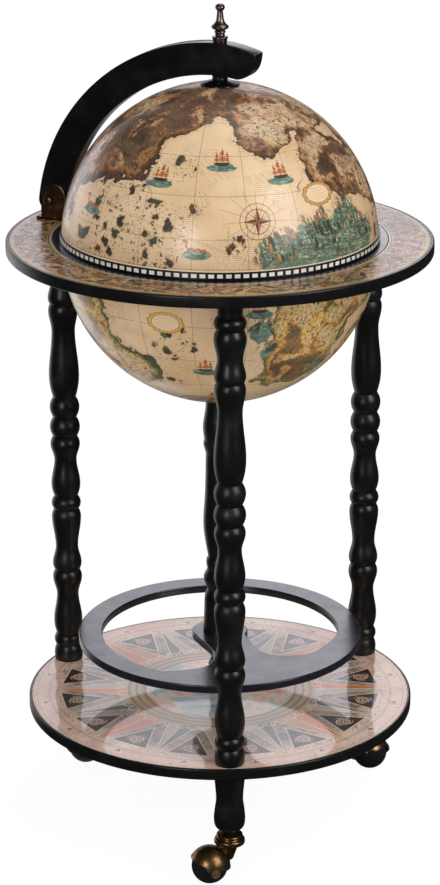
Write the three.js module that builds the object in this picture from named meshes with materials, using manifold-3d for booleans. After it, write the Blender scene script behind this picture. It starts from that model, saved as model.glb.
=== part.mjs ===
// Floor globe bar: a hinged globe cabinet in a round table on three turned legs with ball casters.
// Millimetres, +Z up. The floor is z = 0, and the globe's polar axis is x = y = 0.
import * as THREE from "three";
import { mergeVertices } from "three/addons/utils/BufferGeometryUtils.js";
import Module from "manifold-3d";

const wasm = await Module();
wasm.setup();

// Fits shared by all pieces
const seatGap = 0.3;
const cutOverrun = 3;
const printThickness = 0.5;

// Globe: two half shells, and the table ring that carries the lower one
const globeRadius = 165;
const globeWall = 4;
const bowlDrop = 8;
const domeDrop = 3;
const domeRimHeight = 7.7;
const domeRimProud = 1.2;
const domeRimWall = 6.2;
const ringThickness = 12;
const ringEdge = 3;
const ringBorder = 3.5;
const ringOverhang = 32.5;
const ringBoreClearance = 1.5;
const rimWidth = 10;
const rimLap = 4.5;
const rimThickness = 4;
const rimEdge = 0.8;

// Glass deck inside the bowl
const deckDepth = 30;
const deckThickness = 9;
const deckClearance = 0.9;
const deckBorder = 22.8;
const bottleHoleRadius = 50;
const glassHoleWall = 12;
const glassHoleCount = 3;
const glassHoleTurn = 30;

// Turned legs and feet
const legCount = 3;
const legTurn = -87;
const legToGlobe = 25;
const legRadius = 16.4;
const legLength = 498.2;
const tenonRadius = 8;
const tenonLength = 8;
const footLength = 64.9;
const footRadius = 16.4;
const studRadius = 4;
const studGrip = 25;

// Lower shelf and the bottle ring above it
const shelfOverhang = 18.2;
const shelfThickness = 12;
const shelfEdge = 3;
const shelfBorder = 3;
const plateRise = 69.8;
const plateThickness = 8.5;
const plateToLegs = 20.3;
const plateBand = 25.3;
const hubRadius = 30;

// Turned centre column, in two pieces above and below the bottle ring
const columnRadius = 18.2;
const columnLowerRadius = 12.6;
const bowlPadRadius = 18;
const screwRadius = 2.5;
const screwHeadRadius = 7;
const screwHeadHeight = 2.6;
const screwHeadFlatShare = 0.8;
const screwGrip = 24;

// Meridian arm and its hinge
const armTurn = 156;
const armGap = 9.5;
const armDepth = 33.5;
const armWidth = 18;
const armEdge = 1.2;
const pivotHeight = 21.3;
const armFootRadius = 13.2;
const armFootInset = 7;
const pinRadius = 3.5;
const pinHeadRadius = 5.4;
const pinHeadHeight = 2.2;
const cheekRadius = 14.4;
const cheekThickness = 2.5;
const cheekInset = 5.2;
const cheekRaise = 4.8;
const bracketTab = 6.4;
const hingeScrewRadius = 1.6;
const hingeScrewHeadRadius = 3.4;
const hingeScrewHeadHeight = 1.4;
const hingeScrewLength = 9;
const hingeScrewInset = 7;

// Pole fittings
const boltRadius = 2.5;
const capRadius = 20;
const capHeight = 5;
const capEdge = 1.2;
const spacerRadius = 8.4;
const finialLength = 39;
const finialRadius = 8.95;
const boltGrip = 9;
const washerRadius = 12;
const washerThickness = 1.5;
const nutRadius = 5.5;
const nutHeight = 4;
const boltTail = 3;

// Ball casters
const ballRadius = 19;
const ballClearance = 1.1;
const hoodWall = 1.6;
const casterTrail = 21.6;
const casterTurns = [197, -61.7, 39];
const swivelRise = 1;
const swivelPlate = 3.2;
const swivelRadius = 9;
const swivelPinRadius = 3.5;
const swivelPinLength = 9;
const hornTipRadius = 5;
const cupHeight = 14.2;
const cupRadius = 16;
const casterStemRadius = 4;
const casterStemLength = 22;
const axleRadius = 1.7;
const axleCapRadius = 4.4;
const axleCapHeight = 1.2;
const earRadius = 6;

// Smoothness of the round surfaces
const globeSides = 32;
const globeSteps = 7;
const discSides = 36;
const turnedSides = 10;
const legSteps = 2;
const ballSides = 12;
const ballSteps = 8;
const hoodSides = 14;
const hoodSteps = 8;
const smallSides = 10;
const edgeSteps = 2;
const bandSteps = 32;
const hubSteps = 12;
const webSteps = 15;
const armSteps = 16;
const noseSteps = 5;
const cheekSteps = 12;
const earSteps = 6;
const nutSides = 6;

// Turned outlines, one list per stretch between two grooves, as shares of the length and of the radius.
// They run from the top, where the length share is 0, to the foot of the piece.
const legShares = [
  [[0, 0.78], [0.02, 0.77], [0.033, 0.8]],
  [[0.033, 0.8], [0.046, 1], [0.061, 0.86]],
  [[0.061, 0.86], [0.08, 0.99], [0.124, 0.79], [0.158, 0.97], [0.171, 0.87]],
  [[0.171, 0.87], [0.185, 0.96], [0.233, 0.77], [0.333, 1], [0.383, 0.77]],
  [[0.383, 0.77], [0.403, 0.98], [0.429, 0.79]],
  [[0.429, 0.79], [0.452, 0.99], [0.473, 0.81]],
  [[0.473, 0.81], [0.489, 0.97], [0.527, 0.74], [0.583, 0.96], [0.612, 0.79]],
  [[0.612, 0.79], [0.628, 0.98], [0.642, 0.83]],
  [[0.642, 0.83], [0.66, 0.98], [0.73, 0.75], [0.77, 0.96], [0.786, 0.84]],
  [[0.786, 0.84], [0.802, 0.97], [0.844, 0.73], [0.906, 0.95], [0.938, 0.81]],
  [[0.938, 0.81], [0.952, 0.95], [0.965, 0.83]],
  [[0.965, 0.83], [0.985, 0.96], [1, 0.91]],
];
const footShares = [
  [[0, 1], [0.18, 0.93], [0.43, 0.86], [0.62, 0.95], [0.77, 1], [0.9, 0.93], [0.97, 0.66], [1, 0.45]],
];
const columnShares = [
  [[0, 0.8], [0.06, 0.86], [0.13, 1], [0.185, 0.92]],
  [[0.185, 0.92], [0.205, 0.97], [0.24, 0.83]],
  [[0.24, 0.83], [0.4, 0.88], [0.55, 0.98], [0.68, 0.7]],
  [[0.68, 0.7], [0.7, 0.82], [0.735, 0.74]],
  [[0.735, 0.74], [0.77, 0.97], [0.82, 0.75]],
  [[0.82, 0.75], [0.85, 0.9], [0.93, 0.95], [1, 1]],
];
const columnLowerShares = [
  [[0, 1], [0.12, 0.95], [0.3, 0.74], [0.42, 0.8]],
  [[0.42, 0.8], [0.5, 1], [0.58, 0.82]],
  [[0.58, 0.82], [0.75, 0.86], [0.9, 0.98], [1, 1]],
];
const finialShares = [
  [[0, 0], [0.03, 0.3], [0.11, 0.54], [0.19, 0.36]],
  [[0.19, 0.36], [0.25, 0.34], [0.42, 0.45], [0.55, 0.72], [0.6, 1], [0.64, 0.92], [0.7, 0.5]],
  [[0.7, 0.5], [0.79, 0.62], [0.86, 0.5]],
  [[0.86, 0.5], [0.91, 0.92], [0.96, 0.88], [1, 0.84]],
];
const cupShares = [[[0, 0.41], [0.1, 0.55], [0.27, 0.85], [0.47, 0.8], [0.62, 0.98], [0.9, 1], [1, 0.9]]];

// The opening of the bottle ring in plan, as shares of the opening's radius, right side then left side
const openingRightShares = [
  [0.953, -0.195], [0.867, -0.356], [0.772, -0.49], [0.625, -0.552], [0.477, -0.552], [0.356, -0.477],
  [0.281, -0.344],
];
const openingLeftShares = [
  [-0.156, -0.234], [-0.108, -0.332], [-0.055, -0.477], [-0.06, -0.64], [-0.11, -0.77], [-0.254, -0.845],
];
const openingHubTurns = [-24, 208];
const openingTurns = [-118, -362];

// Nose of the arm past the pole, as shares of the arm's depth: along the arm, and above its inner edge
const noseTopShare = [-1.31, 0.75];
const noseTopBendShare = [-0.66, 0.99];
const noseEndBendShare = [-1.3, 0.02];
const noseLowShare = [-0.66, -0.07];
const noseInnerShare = [-0.24, 0];

// Lower edge of the caster's hood, as shares of the ball radius: at its far side and at the horn
const hoodEdgeFarShare = 0.5;
const hoodEdgeHornShare = -0.1;
const earTopShare = 0.75;
const earTurns = [-160, -20];

// Heights, from the floor up
const hoodRadius = ballRadius + ballClearance + hoodWall;
const swivelTop = ballRadius + hoodRadius + swivelRise;
const cupBottom = swivelTop + seatGap;
const cupTop = cupBottom + cupHeight;
const footBottom = cupTop + seatGap;
const footTop = footBottom + footLength;
const shelfBottom = footTop + seatGap;
const shelfTop = shelfBottom + shelfThickness;
const legBottom = shelfTop + seatGap;
const legTop = legBottom + legLength;
const ringBottom = legTop + seatGap;
const ringTop = ringBottom + ringThickness;
const plateTop = shelfTop + plateRise;
const plateBottom = plateTop - plateThickness;
const globeInner = globeRadius - globeWall;
const bowlCentre = ringTop - bowlDrop;
const bowlBottom = bowlCentre - rise(globeRadius, bowlPadRadius);
const bowlFloor = bowlCentre - rise(globeInner, bowlPadRadius);
const domeCentre = ringTop - domeDrop;
const domeTop = domeCentre + rise(globeRadius, capRadius);
const domeCeiling = domeCentre + rise(globeInner, capRadius);
const boardTop = ringTop - printThickness - seatGap;
const shelfBoardTop = shelfTop - printThickness - seatGap;

// Radii, from the globe outwards
const legCircle = globeRadius + legToGlobe;
const ringRadius = legCircle + ringOverhang;
const ringBore = globeRadius + ringBoreClearance;
const rimRadius = globeRadius + rimWidth;
const shelfRadius = legCircle + shelfOverhang;
const plateRadius = legCircle - legRadius - plateToLegs;
const plateOpening = plateRadius - plateBand;
const armInner = globeRadius + armGap;
const armOuter = armInner + armDepth;
const boltHole = boltRadius + seatGap;
const studHole = studRadius + seatGap;

const radians = THREE.MathUtils.degToRad;

// Points on an arc about a centre, from one angle to another in degrees
function arc(centreX, centreY, radius, from, to, steps) {
  return Array.from({ length: steps + 1 }, (_, i) => {
    const angle = radians(from + ((to - from) * i) / steps);
    return new THREE.Vector2(centreX + radius * Math.cos(angle), centreY + radius * Math.sin(angle));
  });
}

function points(pairs) {
  return pairs.map(([x, y]) => new THREE.Vector2(x, y));
}

// A smooth turned outline: each stretch between two grooves is one spline
function turned(shares, top, length, radius, steps = 1) {
  const outline = [];
  for (const stretch of shares) {
    const knots = stretch.map(([along, out]) => new THREE.Vector2(out * radius, top - along * length));
    const samples = new THREE.SplineCurve(knots).getPoints((stretch.length - 1) * steps);
    outline.push(...(outline.length ? samples.slice(1) : samples));
  }
  return outline;
}

// Turns an outline of (radius, height) points about the z axis, and closes it where it stays off the axis
function lathe(outline, sides) {
  const loop = outline.map((p) => new THREE.Vector2(Math.max(p.x, 0), p.y));
  const first = loop[0];
  const last = loop[loop.length - 1];
  if (first.x > 0 || last.x > 0) loop.push(first.clone());
  const clockwise = THREE.ShapeUtils.isClockWise(loop);
  if (clockwise) loop.reverse();
  return new THREE.LatheGeometry(loop, sides).rotateX(Math.PI / 2);
}

// A flat board from a plan outline with holes, its underside at the given height
function board(outline, holes, bottom, thickness) {
  const shape = new THREE.Shape(outline);
  shape.holes = holes.map((hole) => new THREE.Path(hole));
  const plate = new THREE.ExtrudeGeometry(shape, { depth: thickness, bevelEnabled: false });
  return plate.translate(0, 0, bottom);
}

function circle(centreX, centreY, radius, sides) {
  return arc(centreX, centreY, radius, 0, 360, sides).slice(0, sides);
}

// An upright rod between two heights
function rod(radius, bottom, top, sides = smallSides, x = 0, y = 0) {
  return new THREE.CylinderGeometry(radius, radius, top - bottom, sides)
    .rotateX(Math.PI / 2)
    .translate(x, y, (top + bottom) / 2);
}

function solid(geometry) {
  const bare = geometry.clone();
  for (const name of Object.keys(bare.attributes)) if (name !== "position") bare.deleteAttribute(name);
  const merged = mergeVertices(bare);
  return new wasm.Manifold(
    new wasm.Mesh({
      numProp: 3,
      vertProperties: merged.getAttribute("position").array,
      triVerts: new Uint32Array(merged.index.array),
    }),
  );
}

function geometryOf(body) {
  const mesh = body.getMesh();
  const geometry = new THREE.BufferGeometry();
  geometry.setAttribute("position", new THREE.BufferAttribute(new Float32Array(mesh.vertProperties), 3));
  geometry.setIndex(new THREE.BufferAttribute(new Uint32Array(mesh.triVerts), 1));
  const flat = geometry.toNonIndexed();
  flat.computeVertexNormals();
  return flat;
}

function cut(geometry, tools) {
  return geometryOf(tools.reduce((body, tool) => body.subtract(solid(tool)), solid(geometry)));
}

function join(geometries) {
  const [first, ...others] = geometries.map(solid);
  return geometryOf(others.reduce((body, other) => body.add(other), first));
}

// Finishes
function finish(color, roughness, metalness) {
  return new THREE.MeshStandardMaterial({ color, roughness, metalness });
}

const blackLacquer = finish(0x0b0a0b, 0.35, 0);
const mapPaper = finish(0xcbb08a, 0.3, 0);
const bowlPaper = finish(0xc2a67f, 0.3, 0);
const ringPaper = finish(0xb79a7c, 0.3, 0);
const shelfPaper = finish(0xc9b6a6, 0.25, 0);
const scaleLacquer = finish(0x1a1614, 0.35, 0);
const darkBronze = finish(0x3b2c22, 0.35, 0.9);
const antiqueBrass = finish(0x7a5a2e, 0.35, 1);
const zincSteel = finish(0xa9a9a6, 0.4, 1);
const ballPlastic = finish(0x0d0f12, 0.3, 0);
const deckWood = finish(0x4a2c1c, 0.45, 0);

const globeBar = new THREE.Group();

function place(parent, name, geometry, material) {
  const mesh = new THREE.Mesh(geometry, material);
  mesh.name = name;
  parent.add(mesh);
  return mesh;
}

function turnedGroup(parent, degrees, x = 0, y = 0) {
  const group = new THREE.Group();
  group.position.set(x, y, 0);
  group.rotation.z = radians(degrees);
  parent.add(group);
  return group;
}

const legs = Array.from({ length: legCount }, (_, i) => {
  const angle = radians(legTurn + (360 * i) / legCount);
  return { x: legCircle * Math.cos(angle), y: legCircle * Math.sin(angle) };
});
const legNames = ["front", "right", "left"];

// Hinge places along the arm's own radial line
const pivotX = Math.sqrt(armOuter ** 2 - (pivotHeight + domeDrop) ** 2) - armFootRadius;
const pivotZ = ringTop + pivotHeight;
const cheekX = pivotX - cheekInset;
const cheekZ = pivotZ + cheekRaise;
const bracketBottom = ringTop + seatGap;
const bracketFloor = bracketBottom + cheekThickness;
const hingeScrews = [cheekX - hingeScrewInset, cheekX + cheekRadius - seatGap];
const hingeScrewHole = hingeScrewRadius + seatGap;
const hingeScrewTip = bracketFloor + seatGap - hingeScrewLength - cheekThickness;
const armTurned = new THREE.Matrix4().makeRotationZ(radians(armTurn));

function hingeScrewHoles(sides = smallSides) {
  return hingeScrews.map((x) =>
    rod(hingeScrewHole, hingeScrewTip - seatGap, bracketFloor + cutOverrun, sides, x, 0),
  );
}

// Round board of the table: a bore for the bowl, a rebate for its rim, a shallow bed for the print
function tableRing() {
  const bedOuter = ringRadius - ringBorder;
  const rimSeat = ringTop - rimThickness - seatGap;
  const outline = [
    ...points([[ringBore, ringBottom]]),
    ...arc(ringRadius - ringEdge, ringBottom + ringEdge, ringEdge, -90, 0, edgeSteps),
    ...arc(ringRadius - ringEdge, ringTop - ringEdge, ringEdge, 0, 90, edgeSteps),
    ...points([
      [bedOuter, ringTop],
      [bedOuter, boardTop],
      [rimRadius + seatGap, boardTop],
      [rimRadius + seatGap, rimSeat],
      [ringBore, rimSeat],
    ]),
  ];
  const tenonHoles = legs.map(({ x, y }) =>
    rod(tenonRadius + seatGap, ringBottom - cutOverrun, legTop + tenonLength + seatGap, smallSides, x, y),
  );
  const screwHoles = hingeScrewHoles().map((hole) => hole.applyMatrix4(armTurned));
  const holes = [...tenonHoles, ...screwHoles];
  place(globeBar, "ring_table", cut(lathe(outline, discSides), holes), blackLacquer);

  const inner = rimRadius + seatGap;
  const outer = bedOuter - seatGap;
  const sheet = points([
    [inner, ringTop - printThickness],
    [outer, ringTop - printThickness],
    [outer, ringTop],
    [inner, ringTop],
  ]);
  const sheetHoles = hingeScrewHoles().map((hole) => hole.applyMatrix4(armTurned));
  place(globeBar, "ring_print", cut(lathe(sheet, discSides), sheetHoles), ringPaper);
}

// Black rim that drops into the ring's rebate and holds the edge of the bowl
function innerRim() {
  const inner = globeRadius - rimLap;
  const bottom = ringTop - rimThickness;
  const outline = points([
    [inner, bottom],
    [rimRadius, bottom],
    [rimRadius, ringTop - rimEdge],
    [rimRadius - rimEdge, ringTop],
    [inner + rimEdge, ringTop],
    [inner, ringTop - rimEdge],
  ]);
  place(globeBar, "inner_rim", lathe(outline, discSides), blackLacquer);
}

// Height of a sphere's surface above its centre, at a radius from the pole
function rise(sphere, radius) {
  return Math.sqrt(sphere ** 2 - radius ** 2);
}

// Angle above the equator, in degrees, where a sphere has a given radius from the pole
function latitude(sphere, radius) {
  return THREE.MathUtils.radToDeg(Math.acos(radius / sphere));
}

function bowl() {
  const top = ringTop - rimThickness - seatGap;
  const hole = screwRadius + seatGap;
  const outline = [
    ...points([[hole, bowlFloor], [hole, bowlBottom]]),
    ...arc(0, bowlCentre, globeRadius, -latitude(globeRadius, bowlPadRadius), 0, globeSteps),
    ...points([[globeRadius, top], [globeInner, top]]),
    ...arc(0, bowlCentre, globeInner, 0, -latitude(globeInner, bowlPadRadius), globeSteps),
  ];
  place(globeBar, "lower_bowl", lathe(outline, globeSides), bowlPaper);
}

// Deck with a hole for the bottle and holes for glasses, lying on the curve of the bowl
function deck() {
  const top = ringTop - deckDepth;
  const bottom = top - deckThickness;
  const radius = Math.sqrt(globeInner ** 2 - (bowlCentre - bottom) ** 2) - deckClearance;
  const glassHoleRadius = (radius - deckBorder - glassHoleWall - bottleHoleRadius) / 2;
  const glassCircle = bottleHoleRadius + glassHoleWall + glassHoleRadius;
  const holes = [circle(0, 0, bottleHoleRadius, globeSides / 2)];
  for (let i = 0; i < glassHoleCount; i++) {
    const angle = radians(glassHoleTurn + (360 * i) / glassHoleCount);
    const x = glassCircle * Math.cos(angle);
    const y = glassCircle * Math.sin(angle);
    holes.push(circle(x, y, glassHoleRadius, globeSides / 2));
  }
  const plate = board(circle(0, 0, radius, globeSides), holes, bottom, deckThickness);
  place(globeBar, "glass_deck", plate, deckWood);
}

// A turned leg with a tenon on top and a stud bore in its foot
function legGeometry() {
  const studEnd = legBottom + studGrip + seatGap;
  const outline = [
    ...points([[0, legTop + tenonLength], [tenonRadius, legTop + tenonLength], [tenonRadius, legTop]]),
    ...turned(legShares, legTop, legLength, legRadius, legSteps),
    ...points([[studHole, legBottom], [studHole, studEnd], [0, studEnd]]),
  ];
  return lathe(outline, turnedSides);
}

// A turned foot, bored for the stud above and for the caster's stem below
function footGeometry() {
  const stemHole = casterStemRadius + seatGap;
  const stemTop = footBottom + casterStemLength + seatGap;
  const studEnd = footTop - studGrip - seatGap;
  const outline = [
    ...points([[0, studEnd], [studHole, studEnd], [studHole, footTop]]),
    ...turned(footShares, footTop, footLength, footRadius),
    ...points([[stemHole, footBottom], [stemHole, stemTop], [0, stemTop]]),
  ];
  return lathe(outline, turnedSides);
}

function caster(name, turn, x, y) {
  const stand = turnedGroup(globeBar, turn, x, y);
  const pinHole = swivelPinRadius + seatGap;
  const pinTop = swivelTop + swivelPinLength;
  const stemTop = footBottom + casterStemLength;
  const cup = [
    ...points([[0, stemTop], [casterStemRadius, stemTop], [casterStemRadius, cupTop]]),
    ...turned(cupShares, cupTop, cupHeight, cupRadius),
    ...points([[pinHole, cupBottom], [pinHole, pinTop + seatGap], [0, pinTop + seatGap]]),
  ];
  place(stand, "caster_cup_" + name, lathe(cup, smallSides), antiqueBrass);
  place(stand, "caster_hood_" + name, hoodGeometry(pinTop), antiqueBrass);

  const bore = axleRadius + seatGap;
  const ballStart = THREE.MathUtils.radToDeg(Math.acos(bore / ballRadius));
  const ball = lathe(arc(0, 0, ballRadius, -ballStart, ballStart, ballSteps), ballSides)
    .rotateX(Math.PI / 2)
    .translate(casterTrail, 0, ballRadius);
  place(stand, "caster_ball_" + name, ball, ballPlastic);

  const capInner = hoodRadius + seatGap;
  const capOuter = capInner + axleCapHeight;
  const axle = points([
    [0, -capOuter],
    [axleCapRadius, -capOuter],
    [axleCapRadius, -capInner],
    [axleRadius, -capInner],
    [axleRadius, capInner],
    [axleCapRadius, capInner],
    [axleCapRadius, capOuter],
    [0, capOuter],
  ]);
  const axleGeometry = lathe(axle, smallSides).rotateX(Math.PI / 2).translate(casterTrail, 0, ballRadius);
  place(stand, "caster_axle_" + name, axleGeometry, antiqueBrass);
}

// Hood over the ball: a cut shell with an ear at each end of the axle, and the horn under the swivel plate
function hoodGeometry(pinTop) {
  const sphere = (radius) => {
    const whole = new THREE.SphereGeometry(radius, hoodSides, hoodSteps);
    return whole.translate(casterTrail, 0, ballRadius);
  };
  const far = hoodEdgeFarShare * ballRadius;
  const horn = hoodEdgeHornShare * ballRadius;
  const tilt = Math.atan2(far - horn, 2 * ballRadius);
  const reach = 4 * hoodRadius;
  const keep = new THREE.BoxGeometry(reach, reach, reach / 2)
    .translate(0, 0, hoodRadius)
    .rotateY(-tilt)
    .translate(casterTrail, 0, ballRadius + (far + horn) / 2);
  const earTop = earTopShare * ballRadius;
  const earShape = new THREE.Shape([
    ...arc(0, 0, earRadius, earTurns[0], earTurns[1], earSteps),
    ...points([[earTop, earTop], [-earTop, earTop]]),
  ]);
  const ears = new THREE.ExtrudeGeometry(earShape, { depth: reach, bevelEnabled: false })
    .rotateX(Math.PI / 2)
    .translate(casterTrail, reach / 2, ballRadius);
  const shell = solid(sphere(hoodRadius)).intersect(solid(keep).add(solid(ears)));
  const hornHeight = swivelTop - ballRadius;
  const hornPiece = new THREE.CylinderGeometry(swivelRadius, hornTipRadius, hornHeight, smallSides)
    .rotateX(Math.PI / 2)
    .translate(0, 0, swivelTop - hornHeight / 2);
  const plate = rod(swivelRadius, swivelTop - swivelPlate, swivelTop);
  const pin = rod(swivelPinRadius, swivelTop - swivelPlate, pinTop);
  const axleHole = rod(axleRadius + seatGap, -reach / 2, reach / 2)
    .rotateX(Math.PI / 2)
    .translate(casterTrail, 0, ballRadius);
  const body = [hornPiece, plate, pin]
    .reduce((whole, piece) => whole.add(solid(piece)), shell)
    .subtract(solid(sphere(ballRadius + ballClearance)))
    .subtract(solid(axleHole));
  return geometryOf(body);
}

function legsAndCasters() {
  legs.forEach(({ x, y }, i) => {
    const name = legNames[i];
    place(globeBar, "leg_" + name, legGeometry(), blackLacquer).position.set(x, y, 0);
    place(globeBar, "foot_" + name, footGeometry(), blackLacquer).position.set(x, y, 0);
    const stud = rod(studRadius, footTop - studGrip, legBottom + studGrip);
    place(globeBar, "leg_stud_" + name, stud, zincSteel).position.set(x, y, 0);
    caster(name, casterTurns[i], x, y);
  });
}

function shelf() {
  const bedOuter = shelfRadius - shelfBorder;
  const outline = [
    ...points([[0, shelfBottom]]),
    ...arc(shelfRadius - shelfEdge, shelfBottom + shelfEdge, shelfEdge, -90, 0, edgeSteps),
    ...arc(shelfRadius - shelfEdge, shelfTop - shelfEdge, shelfEdge, 0, 90, edgeSteps),
    ...points([[bedOuter, shelfTop], [bedOuter, shelfBoardTop], [0, shelfBoardTop]]),
  ];
  const low = shelfBottom - cutOverrun;
  const high = shelfTop + cutOverrun;
  const holes = () => [
    ...legs.map(({ x, y }) => rod(studHole, low, high, smallSides, x, y)),
    rod(screwRadius + seatGap, low, high),
  ];
  place(globeBar, "lower_shelf", cut(lathe(outline, discSides), holes()), blackLacquer);
  const sheet = points([
    [0, shelfTop - printThickness],
    [bedOuter - seatGap, shelfTop - printThickness],
    [bedOuter - seatGap, shelfTop],
    [0, shelfTop],
  ]);
  place(globeBar, "shelf_print", cut(lathe(sheet, discSides), holes()), shelfPaper);
}

// Bottle ring: a band and a hub joined by one broad web towards the front
function bottleRing() {
  const scaled = (shares) => shares.map(([x, y]) => new THREE.Vector2(x * plateOpening, y * plateOpening));
  const band = arc(0, 0, plateOpening, openingTurns[0], openingTurns[1], bandSteps);
  const hub = arc(0, 0, hubRadius, openingHubTurns[0], openingHubTurns[1], hubSteps);
  const side = (knots) => new THREE.SplineCurve(knots).getPoints(webSteps);
  const right = side([band[band.length - 1], ...scaled(openingRightShares), hub[0]]);
  const left = side([hub[hub.length - 1], ...scaled(openingLeftShares), band[0]]);
  const opening = [...band, ...right.slice(1), ...hub.slice(1), ...left.slice(1, -1)];
  const holes = [opening, circle(0, 0, studHole, smallSides)];
  const plate = board(circle(0, 0, plateRadius, discSides), holes, plateBottom, plateThickness);
  place(globeBar, "bottle_ring", plate, blackLacquer);
}

function column() {
  const top = bowlBottom - seatGap;
  const bottom = plateTop + seatGap;
  const screwHole = screwRadius + seatGap;
  const upperStudEnd = bottom + studGrip + seatGap;
  const upper = [
    ...points([[0, top - screwGrip], [screwHole, top - screwGrip], [screwHole, top]]),
    ...turned(columnShares, top, top - bottom, columnRadius, legSteps),
    ...points([[studHole, bottom], [studHole, upperStudEnd], [0, upperStudEnd]]),
  ];
  place(globeBar, "column_upper", lathe(upper, turnedSides), blackLacquer);

  const lowerTop = plateBottom - seatGap;
  const lowerBottom = shelfTop + seatGap;
  const studEnd = lowerTop - studGrip;
  const screwEnd = lowerBottom + screwGrip;
  const lower = [
    ...points([[0, studEnd], [studHole, studEnd], [studHole, lowerTop]]),
    ...turned(columnLowerShares, lowerTop, lowerTop - lowerBottom, columnLowerRadius),
    ...points([[screwHole, lowerBottom], [screwHole, screwEnd], [0, screwEnd]]),
  ];
  place(globeBar, "column_lower", lathe(lower, turnedSides), blackLacquer);
  place(globeBar, "column_stud", rod(studRadius, studEnd + seatGap, bottom + studGrip), zincSteel);

  const bowlHead = bowlFloor + seatGap + screwHeadHeight;
  place(globeBar, "bowl_screw", screw(bowlHead, bowlFloor + seatGap, top - screwGrip + seatGap), zincSteel);
  const shelfHead = shelfBottom - seatGap - screwHeadHeight;
  place(globeBar, "shelf_screw", screw(shelfHead, shelfBottom - seatGap, screwEnd - seatGap), zincSteel);
}

// A pan head screw between the top of its head, the seat of its head and its tip
function screw(headTop, headSeat, tip) {
  const outline = points([
    [0, headTop],
    [screwHeadRadius * screwHeadFlatShare, headTop],
    [screwHeadRadius, (headTop + headSeat) / 2],
    [screwHeadRadius, headSeat],
    [screwRadius, headSeat],
    [screwRadius, tip],
    [0, tip],
  ]);
  return lathe(outline, smallSides);
}

// The arm's side view: x runs from the pole out to the hinge, y is the height above the floor
function armOutline() {
  const innerTop = domeCentre + armInner;
  const atShare = ([along, up]) => new THREE.Vector2(along * armDepth, innerTop + up * armDepth);
  const pivotAngle = (radius) => THREE.MathUtils.radToDeg(Math.asin((pivotZ - domeCentre) / radius));
  const innerEnd = pivotAngle(armInner);
  const noseInner = atShare(noseInnerShare);
  const noseAngle = 90 - THREE.MathUtils.radToDeg(Math.asin(noseInner.x / armInner));
  const top = new THREE.Vector2(0, domeCentre + armOuter);
  const [noseTopBend, noseTop, noseEndBend, noseLow] = [
    noseTopBendShare,
    noseTopShare,
    noseEndBendShare,
    noseLowShare,
  ].map(atShare);
  const crown = new THREE.QuadraticBezierCurve(top, noseTopBend, noseTop);
  const nose = new THREE.QuadraticBezierCurve(noseTop, noseEndBend, noseLow);
  const inner = arc(0, domeCentre, armInner, noseAngle, innerEnd, armSteps);
  return [
    ...arc(pivotX, pivotZ, armFootRadius, -90, 0, noseSteps),
    ...arc(0, domeCentre, armOuter, pivotAngle(armOuter), 90, armSteps).slice(1),
    ...crown.getPoints(noseSteps).slice(1),
    ...nose.getPoints(noseSteps).slice(1),
    ...inner,
    new THREE.Vector2(inner[inner.length - 1].x, pivotZ - armFootRadius + armFootInset),
    new THREE.Vector2(inner[inner.length - 1].x + armFootInset, pivotZ - armFootRadius),
  ];
}

function arm(hinge) {
  const shape = new THREE.Shape(armOutline());
  shape.holes = [new THREE.Path(circle(pivotX, pivotZ, pinRadius + seatGap, smallSides))];
  const bar = new THREE.ExtrudeGeometry(shape, {
    depth: armWidth - 2 * armEdge,
    bevelThickness: armEdge,
    bevelSize: armEdge,
    bevelOffset: -armEdge,
    bevelSegments: 1,
  })
    .rotateX(Math.PI / 2)
    .translate(0, armWidth / 2 - armEdge, 0);
  const boltPath = rod(boltHole, domeTop, domeCentre + armOuter + cutOverrun);
  place(hinge, "meridian_arm", cut(bar, [boltPath]), blackLacquer);
}

// Bracket: a foot plate on the ring and two round-topped cheeks beside the arm
function bracket(hinge) {
  const cheekY = armWidth / 2 + seatGap;
  const outer = cheekY + cheekThickness;
  const left = cheekX - cheekRadius;
  const right = cheekX + cheekRadius;
  const plate = new THREE.BoxGeometry(right + bracketTab - left, 2 * outer, cheekThickness).translate(
    (right + bracketTab + left) / 2,
    0,
    (bracketBottom + bracketFloor) / 2,
  );
  const cheek = new THREE.Shape([
    ...points([[left, bracketBottom], [right, bracketBottom]]),
    ...arc(cheekX, cheekZ, cheekRadius, 0, 180, cheekSteps),
  ]);
  cheek.holes = [new THREE.Path(circle(pivotX, pivotZ, pinRadius + seatGap, smallSides))];
  const cheeks = [-outer, cheekY].map((y) =>
    new THREE.ExtrudeGeometry(cheek, { depth: cheekThickness, bevelEnabled: false })
      .rotateX(Math.PI / 2)
      .translate(0, y + cheekThickness, 0),
  );
  const whole = join([plate, ...cheeks]);
  place(hinge, "hinge_bracket", cut(whole, hingeScrewHoles()), darkBronze);

  const headSeat = outer + seatGap;
  const headEnd = headSeat + pinHeadHeight;
  const pin = points([
    [0, -headEnd],
    [pinHeadRadius / 2, -headEnd],
    [pinHeadRadius, -headSeat],
    [pinRadius, -headSeat],
    [pinRadius, headSeat],
    [pinHeadRadius, headSeat],
    [pinHeadRadius / 2, headEnd],
    [0, headEnd],
  ]);
  const pinGeometry = lathe(pin, smallSides).rotateX(Math.PI / 2).translate(pivotX, 0, pivotZ);
  place(hinge, "hinge_pin", pinGeometry, darkBronze);

  hingeScrews.forEach((x, i) => {
    const seat = bracketFloor + seatGap;
    const outline = points([
      [0, seat + hingeScrewHeadHeight],
      [hingeScrewHeadRadius / 2, seat + hingeScrewHeadHeight],
      [hingeScrewHeadRadius, seat],
      [hingeScrewRadius, seat],
      [hingeScrewRadius, hingeScrewTip],
      [0, hingeScrewTip],
    ]);
    const name = ["hinge_screw_inner", "hinge_screw_outer"][i];
    place(hinge, name, lathe(outline, smallSides), darkBronze).position.x = x;
  });
}

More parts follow.
